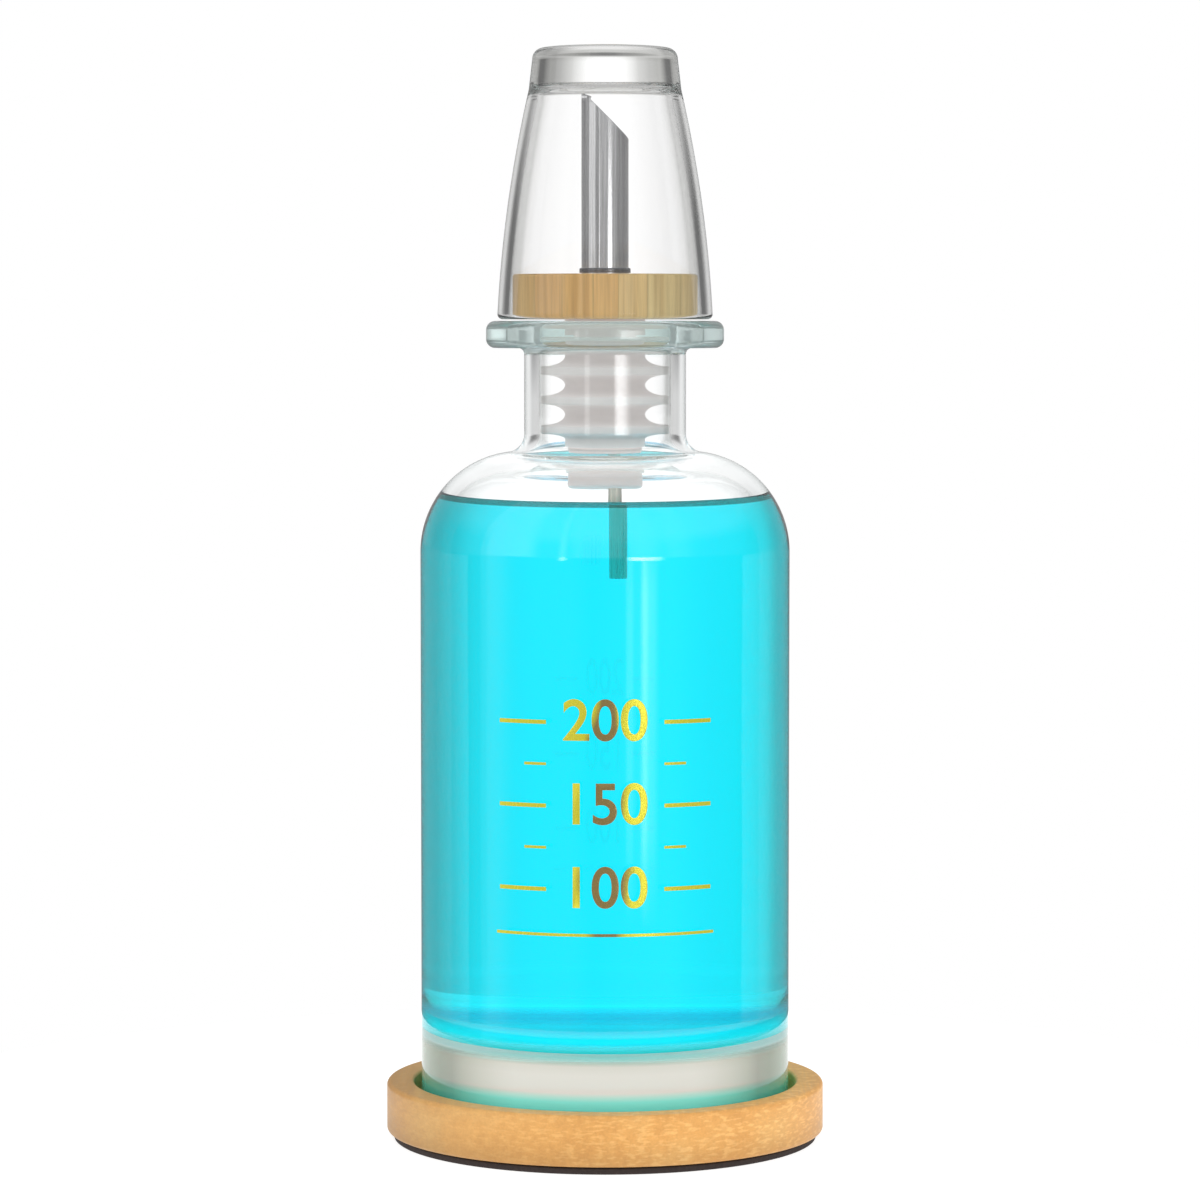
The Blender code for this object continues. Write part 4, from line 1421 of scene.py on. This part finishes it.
@dataclass
class Cup:
    """Small thick-footed drinking glass, upside down over the spout."""

    shop: Workshop
    waist_radius: float = 14.4 * MM
    straight_share: float = 0.35
    foot_height: float = 7.8 * MM
    foot_taper: float = 0.9 * MM
    foot_round: float = 2.0 * MM
    foot_ring_width: float = 2.0 * MM
    wall: float = 2.0 * MM
    base_thickness: float = 7.1 * MM
    floor_round: float = 3.0 * MM
    dish_depth: float = 0.7 * MM
    wall_steps: int = 100
    # Painted shade: darker by slant, with dark painted bands and darker slant zones at the upturned foot.
    glass: GlassFinish = GlassFinish(
        "cup_glass", body=(0.93, 0.95, 0.94), density=2.0,
        painted_slant_shade=(
            (0.0, 1.0), (0.02, 0.985), (0.05, 0.965), (0.12, 0.93), (0.24, 0.905), (0.34, 0.92),
            (0.38, 0.93), (0.50, (0.80, 0.80, 0.79)), (0.62, (0.46, 0.46, 0.45)),
            (0.78, (0.72, 0.72, 0.71)), (1.0, (0.50, 0.50, 0.49)),
        ),
        painted_height_bands=(
            (0.1977, 1.0), (0.1982, (0.84, 0.84, 0.83)), (0.1986, (0.84, 0.84, 0.83)), (0.1992, 1.0),
            (0.2036, 1.0), (0.2044, (0.85, 0.85, 0.84)), (0.2056, (0.85, 0.85, 0.84)),
            (0.2061, (0.78, 0.78, 0.77)),
        ),
        zones=(
            GlassZone(low=0.1990, high=0.2044, painted_slant_shade=(
                (0.02, 1.0), (0.05, (0.84, 0.84, 0.83)), (0.087, (0.66, 0.66, 0.65)),
                (0.12, (0.47, 0.47, 0.46)), (0.209, (0.37, 0.37, 0.36)), (0.335, (0.49, 0.49, 0.47)),
                (0.44, 0.12), (0.53, 0.10), (0.60, (0.60, 0.60, 0.58)), (0.80, (0.95, 0.95, 0.94)),
            )),
            GlassZone(low=0.2044, high=0.2058, painted_slant_shade=(
                (0.01, 0.20), (0.05, (0.34, 0.34, 0.33)), (0.12, (0.36, 0.36, 0.35)),
                (0.24, (0.55, 0.55, 0.54)), (0.42, (0.85, 0.85, 0.84)), (0.80, (0.95, 0.95, 0.94)),
            )),
            GlassZone(low=0.2058, high=RAMP_TOP, painted_slant_shade=((0.05, 0.48), (0.25, 0.82), (0.42, 1.0))),
        ),
    )

    def __post_init__(self) -> None:
        """Reads the cup's place from the frame, with the wall carried on down to the plane of the rim."""
        low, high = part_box("drinking_cup")
        self.rim = low.z
        self.height = high.z - low.z
        self.waist_height = self.height - self.foot_height
        steepness = self.straight_share / self.waist_height
        self.rim_radius = high.x + (high.x - self.waist_radius) * steepness * self.wall / 2

    def wall_radius(self, height: float) -> float:
        """Outside radius of the wall at a height over the rim: part cone, part parabola."""
        rise = height / self.waist_height
        fall = self.straight_share * rise + (1 - self.straight_share) * rise ** 2
        return self.rim_radius - (self.rim_radius - self.waist_radius) * fall

    def build(self) -> None:
        """Turns the cup."""
        half_wall = self.wall / 2
        hollow = self.height - self.base_thickness
        ceiling = hollow - self.floor_round
        steps = self.wall_steps
        heights = [half_wall + (self.waist_height - half_wall) * i / steps for i in range(steps + 1)]
        outside = [(self.wall_radius(h), h) for h in reversed(heights)]
        inside = [(self.wall_radius(h) - self.wall, h) for h in heights if h < ceiling]
        foot_radius = self.waist_radius - self.foot_taper
        dish = foot_radius - self.foot_round - self.foot_ring_width
        foot = rounded([
            (0.0, self.height - self.dish_depth, 0.0),
            (dish - self.dish_depth * 3, self.height - self.dish_depth, self.dish_depth),
            (dish, self.height, self.dish_depth),
            (foot_radius, self.height, self.foot_round),
            (self.waist_radius, self.waist_height, 0.0),
        ])
        rim = arc((outside[-1][0] - half_wall, half_wall), half_wall, 0.0, -math.pi)
        corner_radius = self.wall_radius(ceiling) - self.wall - self.floor_round
        corner = arc((corner_radius, ceiling), self.floor_round, 0.0, QUARTER)
        profile = [*foot, *outside[1:], *rim[1:-1], *inside, *corner, (0.0, hollow)]
        placed = [(r, self.rim + h) for r, h in profile]
        seat(self.shop.turn("upturned_cup", placed, self.glass), Body.CUP, "drinking_cup")


@dataclass(frozen=True)
class Panel:
    """A soft upright panel of light that only polished surfaces mirror.

    Its bearings are in degrees from the front, to the right, and its heights are sines of the rise.
    """

    level: float
    bearings: tuple[Point, ...]
    heights: tuple[Point, ...]


class Sky(Board):
    """The surroundings' nodes, with the way that a ray leaves in and what it has met before."""

    def __init__(self, world: bpy.types.World) -> None:
        """Reads the ray's bearing, its angle from straight astern, its rise as a sine, and its path."""
        world.use_nodes = True
        super().__init__(world.node_tree)
        way = self.split(self.add("ShaderNodeTexCoord").outputs["Generated"])
        ahead = self.calc("MULTIPLY", way["Y"], -1.0)
        self.bearing = self.calc("DEGREES", self.calc("ARCTAN2", way["X"], ahead))
        self.astern = self.calc("SUBTRACT", HALF_TURN, self.calc("ABSOLUTE", self.bearing))
        self.rise = way["Z"]
        self.ray = self.add("ShaderNodeLightPath").outputs

    def by_bearing(self, stops: Iterable[Point]) -> Socket:
        """A level by bearing, all the way round."""
        return self.levels(self.bearing, stops, -HALF_TURN, HALF_TURN)

    def by_astern(self, stops: Iterable[Point]) -> Socket:
        """A level by the angle from straight astern, the same on both sides."""
        return self.levels(self.astern, stops, 0.0, HALF_TURN)

    def by_rise(self, stops: Iterable[Point], steepest: float = 1.0) -> Socket:
        """A level by rise, drawn finely where the steepest rise that matters is small."""
        return self.levels(self.rise, stops, -steepest, steepest)


@dataclass
class Studio:
    """White floor, soft light from all round and a camera at the photographed angle.

    The surroundings are plain white to the camera. Soft steps of grey show through glass, polished surfaces
    see a dim room with soft upright panels, and plain surfaces get even light.
    Bearings are in degrees from the front, to the right. The stops of through and walls, onward_angle and
    wall_angle are in degrees from straight astern. Rises and depths are sines. The lamp's bearing and rise
    are in radians instead. Crossings are the faces of glass or liquid that a ray has passed.
    """

    camera_place: Triple = (-0.00095, -0.8416, 0.1544)
    camera_pitch: float = math.radians(-3.527)
    lens_mm: float = 133.2
    sensor_mm: float = 36.0
    view_depth: float = 12.0
    floor_radius: float = 0.16
    floor_tone: float = 0.30
    floor_glow: float = 0.86
    lamp_bearing: float = math.radians(-35.0)
    lamp_rise: float = math.radians(52.0)
    lamp_distance: float = 0.9
    lamp_width: float = 0.7
    lamp_power: float = 1.6
    lamp_aim: Triple = (0.0, 0.0, 0.1)
    light_bounces: int = 24
    through: tuple[Point, ...] = ((10.0, 1.0), (45.0, 0.75), (75.0, 0.85), (180.0, 0.95))
    sides: tuple[Point, ...] = (
        (-180.0, 0.75), (-163.0, 0.775), (-153.5, 0.85), (-149.0, 0.865), (-143.0, 0.90), (-136.0, 0.72),
        (-120.0, 0.75), (120.0, 0.75), (136.0, 0.60), (149.0, 0.61), (154.0, 0.68), (162.0, 0.74),
        (180.0, 0.75),
    )
    through_gain: float = 1.547
    mirrored: tuple[Point, ...] = (
        (-180.0, 0.40), (-150.0, 0.34), (-117.0, 0.22), (-95.0, 0.34), (-40.0, 0.34), (-22.0, 0.36),
        (-8.0, 0.26), (12.0, 0.34), (40.0, 0.38), (58.0, 0.30), (85.0, 0.24), (109.0, 0.18), (140.0, 0.30),
        (180.0, 0.40),
    )
    low_mirror_share: float = 0.65
    low_rises: Point = (-0.012, -0.002)
    walls: tuple[Point, ...] = (
        (14.0, 1.0), (21.0, 0.85), (28.0, 0.30), (33.0, 0.14), (41.0, 0.20), (48.0, 0.45), (60.0, 0.90),
    )
    wall_depths: tuple[Point, ...] = ((-0.012, 0.35), (-0.002, 1.0), (0.10, 1.0), (0.20, 0.4))
    wall_angle: float = 62.0
    wall_crossings: Point = (0.5, 3.5)
    onward_angle: float = 80.0
    down_rises: Point = (-0.03, -0.01)
    deep_crossings: float = 4.5
    deep_level: float = 0.95
    steep_rises: Point = (0.25, 0.45)
    steep_level: float = 0.85
    panel_rise: float = 0.20
    panels: tuple[Panel, ...] = (
        Panel(
            level=0.34,
            bearings=((-84.0, 0.0), (-82.5, 1.0), (-72.0, 0.8), (-62.0, 0.1), (-56.0, 0.0)),
            heights=((-0.20, 0.8), (0.0, 1.0), (0.010, 0.0)),
        ),
        Panel(
            level=0.55,
            bearings=(
                (-84.0, 0.0), (-82.5, 1.0), (-50.0, 1.0), (-43.0, 0.0), (-24.0, 0.0), (-18.0, 0.42),
                (10.0, 0.42), (14.0, 0.0), (38.0, 0.0), (42.0, 0.3), (52.0, 0.3), (60.0, 0.0),
            ),
            heights=((0.0, 0.0), (0.010, 1.0)),
        ),
        Panel(
            level=2.6,
            bearings=((-30.0, 0.0), (-28.0, 1.0), (-26.0, 1.0), (-24.0, 0.0)),
            heights=((-0.050, 0.0), (-0.040, 1.0), (0.002, 1.0), (0.014, 0.2)),
        ),
        Panel(
            level=6.0,
            bearings=((13.0, 0.0), (17.0, 0.8), (24.0, 1.0), (31.0, 0.7), (38.0, 0.0)),
            heights=((-0.050, 0.0), (-0.040, 1.0), (0.002, 1.0), (0.014, 0.06)),
        ),
        Panel(
            level=1.8,
            bearings=(
                (12.5, 0.0), (14.0, 0.28), (17.0, 0.28), (18.5, 0.04), (22.5, 0.10), (24.5, 1.0),
                (26.0, 1.0), (27.5, 0.35), (31.5, 0.30), (34.0, 0.0),
            ),
            heights=((-0.135, 0.0), (-0.112, 0.85), (-0.060, 1.0), (-0.050, 0.6), (-0.042, 0.0)),
        ),
    )
    even: tuple[Point, ...] = ((-1.0, 0.85), (0.0, 0.96), (0.6, 1.05))
    even_bearings: tuple[Point, ...] = (
        (-180.0, 0.95), (-120.0, 0.86), (-60.0, 0.86), (0.0, 1.0), (120.0, 1.0), (180.0, 0.95),
    )

    def build(self) -> None:
        """Makes the floor, the lights and the camera."""
        scene = bpy.context.scene
        scene.view_settings.view_transform = "Standard"
        scene.cycles.max_bounces = self.light_bounces
        scene.cycles.glossy_bounces = self.light_bounces
        scene.cycles.transmission_bounces = self.light_bounces
        self.build_floor()
        self.build_surroundings()
        self.build_lamp()
        self.build_camera()

    def build_floor(self) -> None:
        """A pale round floor that blends into the white surroundings."""
        sheet = Sheet("pale_floor")
        sheet.principled({
            "Base Color": rgba(self.floor_tone),
            "Roughness": 0.9,
            "Specular IOR Level": 0.1,
            "Emission Color": rgba(1.0),
            "Emission Strength": self.floor_glow,
        })
        shape = bmesh.new()
        bmesh.ops.create_circle(shape, cap_ends=True, segments=SMALL_SEGMENTS, radius=self.floor_radius)
        mesh = finished_mesh("floor", shape)
        mesh.materials.append(sheet.material)
        piece_of(mesh)

    def build_surroundings(self) -> None:
        """The white surroundings, by the kind of ray that meets them."""
        world = bpy.data.worlds.new("white_studio")
        bpy.context.scene.world = world
        world.cycles.sampling_method = "NONE"
        sky = Sky(world)
        level = sky.mix(sky.ray["Is Transmission Ray"], self.even_light(sky), self.light_through(sky))
        bounced = sky.calc("GREATER_THAN", sky.ray["Glossy Depth"], BEFORE_FIRST)
        plain = sky.calc("LESS_THAN", sky.ray["Diffuse Depth"], BEFORE_FIRST)
        level = sky.mix(sky.calc("MULTIPLY", bounced, plain), level, self.mirrored_light(sky))
        level = sky.mix(sky.ray["Is Camera Ray"], level, rgba(1.0))
        glow = sky.add("ShaderNodeBackground", {"Color": level})
        sky.add("ShaderNodeOutputWorld", {"Surface": glow.outputs["Background"]})

    def even_light(self, sky: Sky) -> Socket:
        """The light that plain surfaces get."""
        return sky.tinted(sky.by_rise(self.even), sky.by_bearing(self.even_bearings))

    def light_through(self, sky: Sky) -> Socket:
        """The light that is seen through glass."""
        level = sky.tinted(sky.by_astern(self.through), sky.by_bearing(self.sides))
        return sky.tinted(level, rgba(self.through_gain))

    def mirrored_light(self, sky: Sky) -> Socket:
        """The light that polished surfaces mirror.

        A ray that has crossed a few faces of glass meets soft walls astern. One that has crossed many, or
        that leaves the glass steeply, meets plain light.
        """
        passed = sky.ray["Transmission Depth"]
        down = sky.fade(sky.rise, 1.0, 0.0, *self.down_rises)
        onward = sky.calc("LESS_THAN", sky.astern, self.onward_angle)
        crossed = sky.calc("ADD", passed, sky.calc("MULTIPLY", down, onward))
        near = sky.calc("LESS_THAN", crossed, self.deep_crossings)
        dim = sky.fade(sky.rise, self.low_mirror_share, 1.0, *self.low_rises)
        level = sky.tinted(sky.by_bearing(self.mirrored), dim)
        for panel in self.panels:
            upright = sky.by_rise(panel.heights, self.panel_rise)
            shape = sky.tinted(sky.by_bearing(panel.bearings), upright)
            bright = sky.tinted(shape, sky.calc("MULTIPLY", near, panel.level))
            level = sky.mix(1.0, level, bright, "ADD")
        walls = sky.mix(sky.by_rise(self.wall_depths), rgba(1.0), sky.by_astern(self.walls))
        fewest, most = self.wall_crossings
        started = sky.calc("GREATER_THAN", passed, fewest)
        entered = sky.calc("MULTIPLY", started, sky.calc("LESS_THAN", passed, most))
        beyond = sky.calc("LESS_THAN", sky.astern, self.wall_angle)
        level = sky.mix(sky.calc("MULTIPLY", entered, beyond), level, walls)
        steep = sky.fade(sky.calc("ABSOLUTE", sky.rise), 0.0, 1.0, *self.steep_rises)
        within = sky.calc("GREATER_THAN", passed, BEFORE_FIRST)
        level = sky.mix(sky.calc("MULTIPLY", steep, within), level, rgba(self.steep_level))
        return sky.mix(sky.calc("SUBTRACT", 1.0, near), level, rgba(self.deep_level))

    def build_lamp(self) -> None:
        """A soft square lamp that faces the object and isn't itself seen."""
        light = bpy.data.lights.new("upper_panel", "AREA")
        light.size = self.lamp_width
        light.energy = self.lamp_power
        lamp = put_in_scene(light.name, light)
        level = math.cos(self.lamp_rise)
        away = Vector((
            math.sin(self.lamp_bearing) * level,
            -math.cos(self.lamp_bearing) * level,
            math.sin(self.lamp_rise),
        ))
        lamp.location = away * self.lamp_distance + Vector(self.lamp_aim)
        lamp.rotation_euler = away.to_track_quat("Z", "Y").to_euler()
        lamp.visible_camera = False
        lamp.visible_glossy = False
        lamp.visible_transmission = False

    def build_camera(self) -> None:
        """The camera, level with the bottle's lip and a long way off."""
        data = bpy.data.cameras.new("camera")
        data.lens = self.lens_mm
        data.sensor_width = self.sensor_mm
        data.clip_end = self.view_depth
        camera = put_in_scene(data.name, data)
        camera.location = self.camera_place
        camera.rotation_euler = (QUARTER + self.camera_pitch, 0.0, 0.0)
        bpy.context.scene.camera = camera


def main() -> None:
    """Builds every sub-assembly and the studio in order."""
    logging.basicConfig(level=logging.INFO, format="%(message)s")
    shop = Workshop()
    Studio().build()
    Tray(shop).build()
    bottle = Bottle(shop)
    bottle.build()
    GoldMarks(shop, bottle).build()
    Stopper(shop).build()
    PourHead(shop).build()
    Cup(shop).build()


if __name__ == "__main__":
    main()
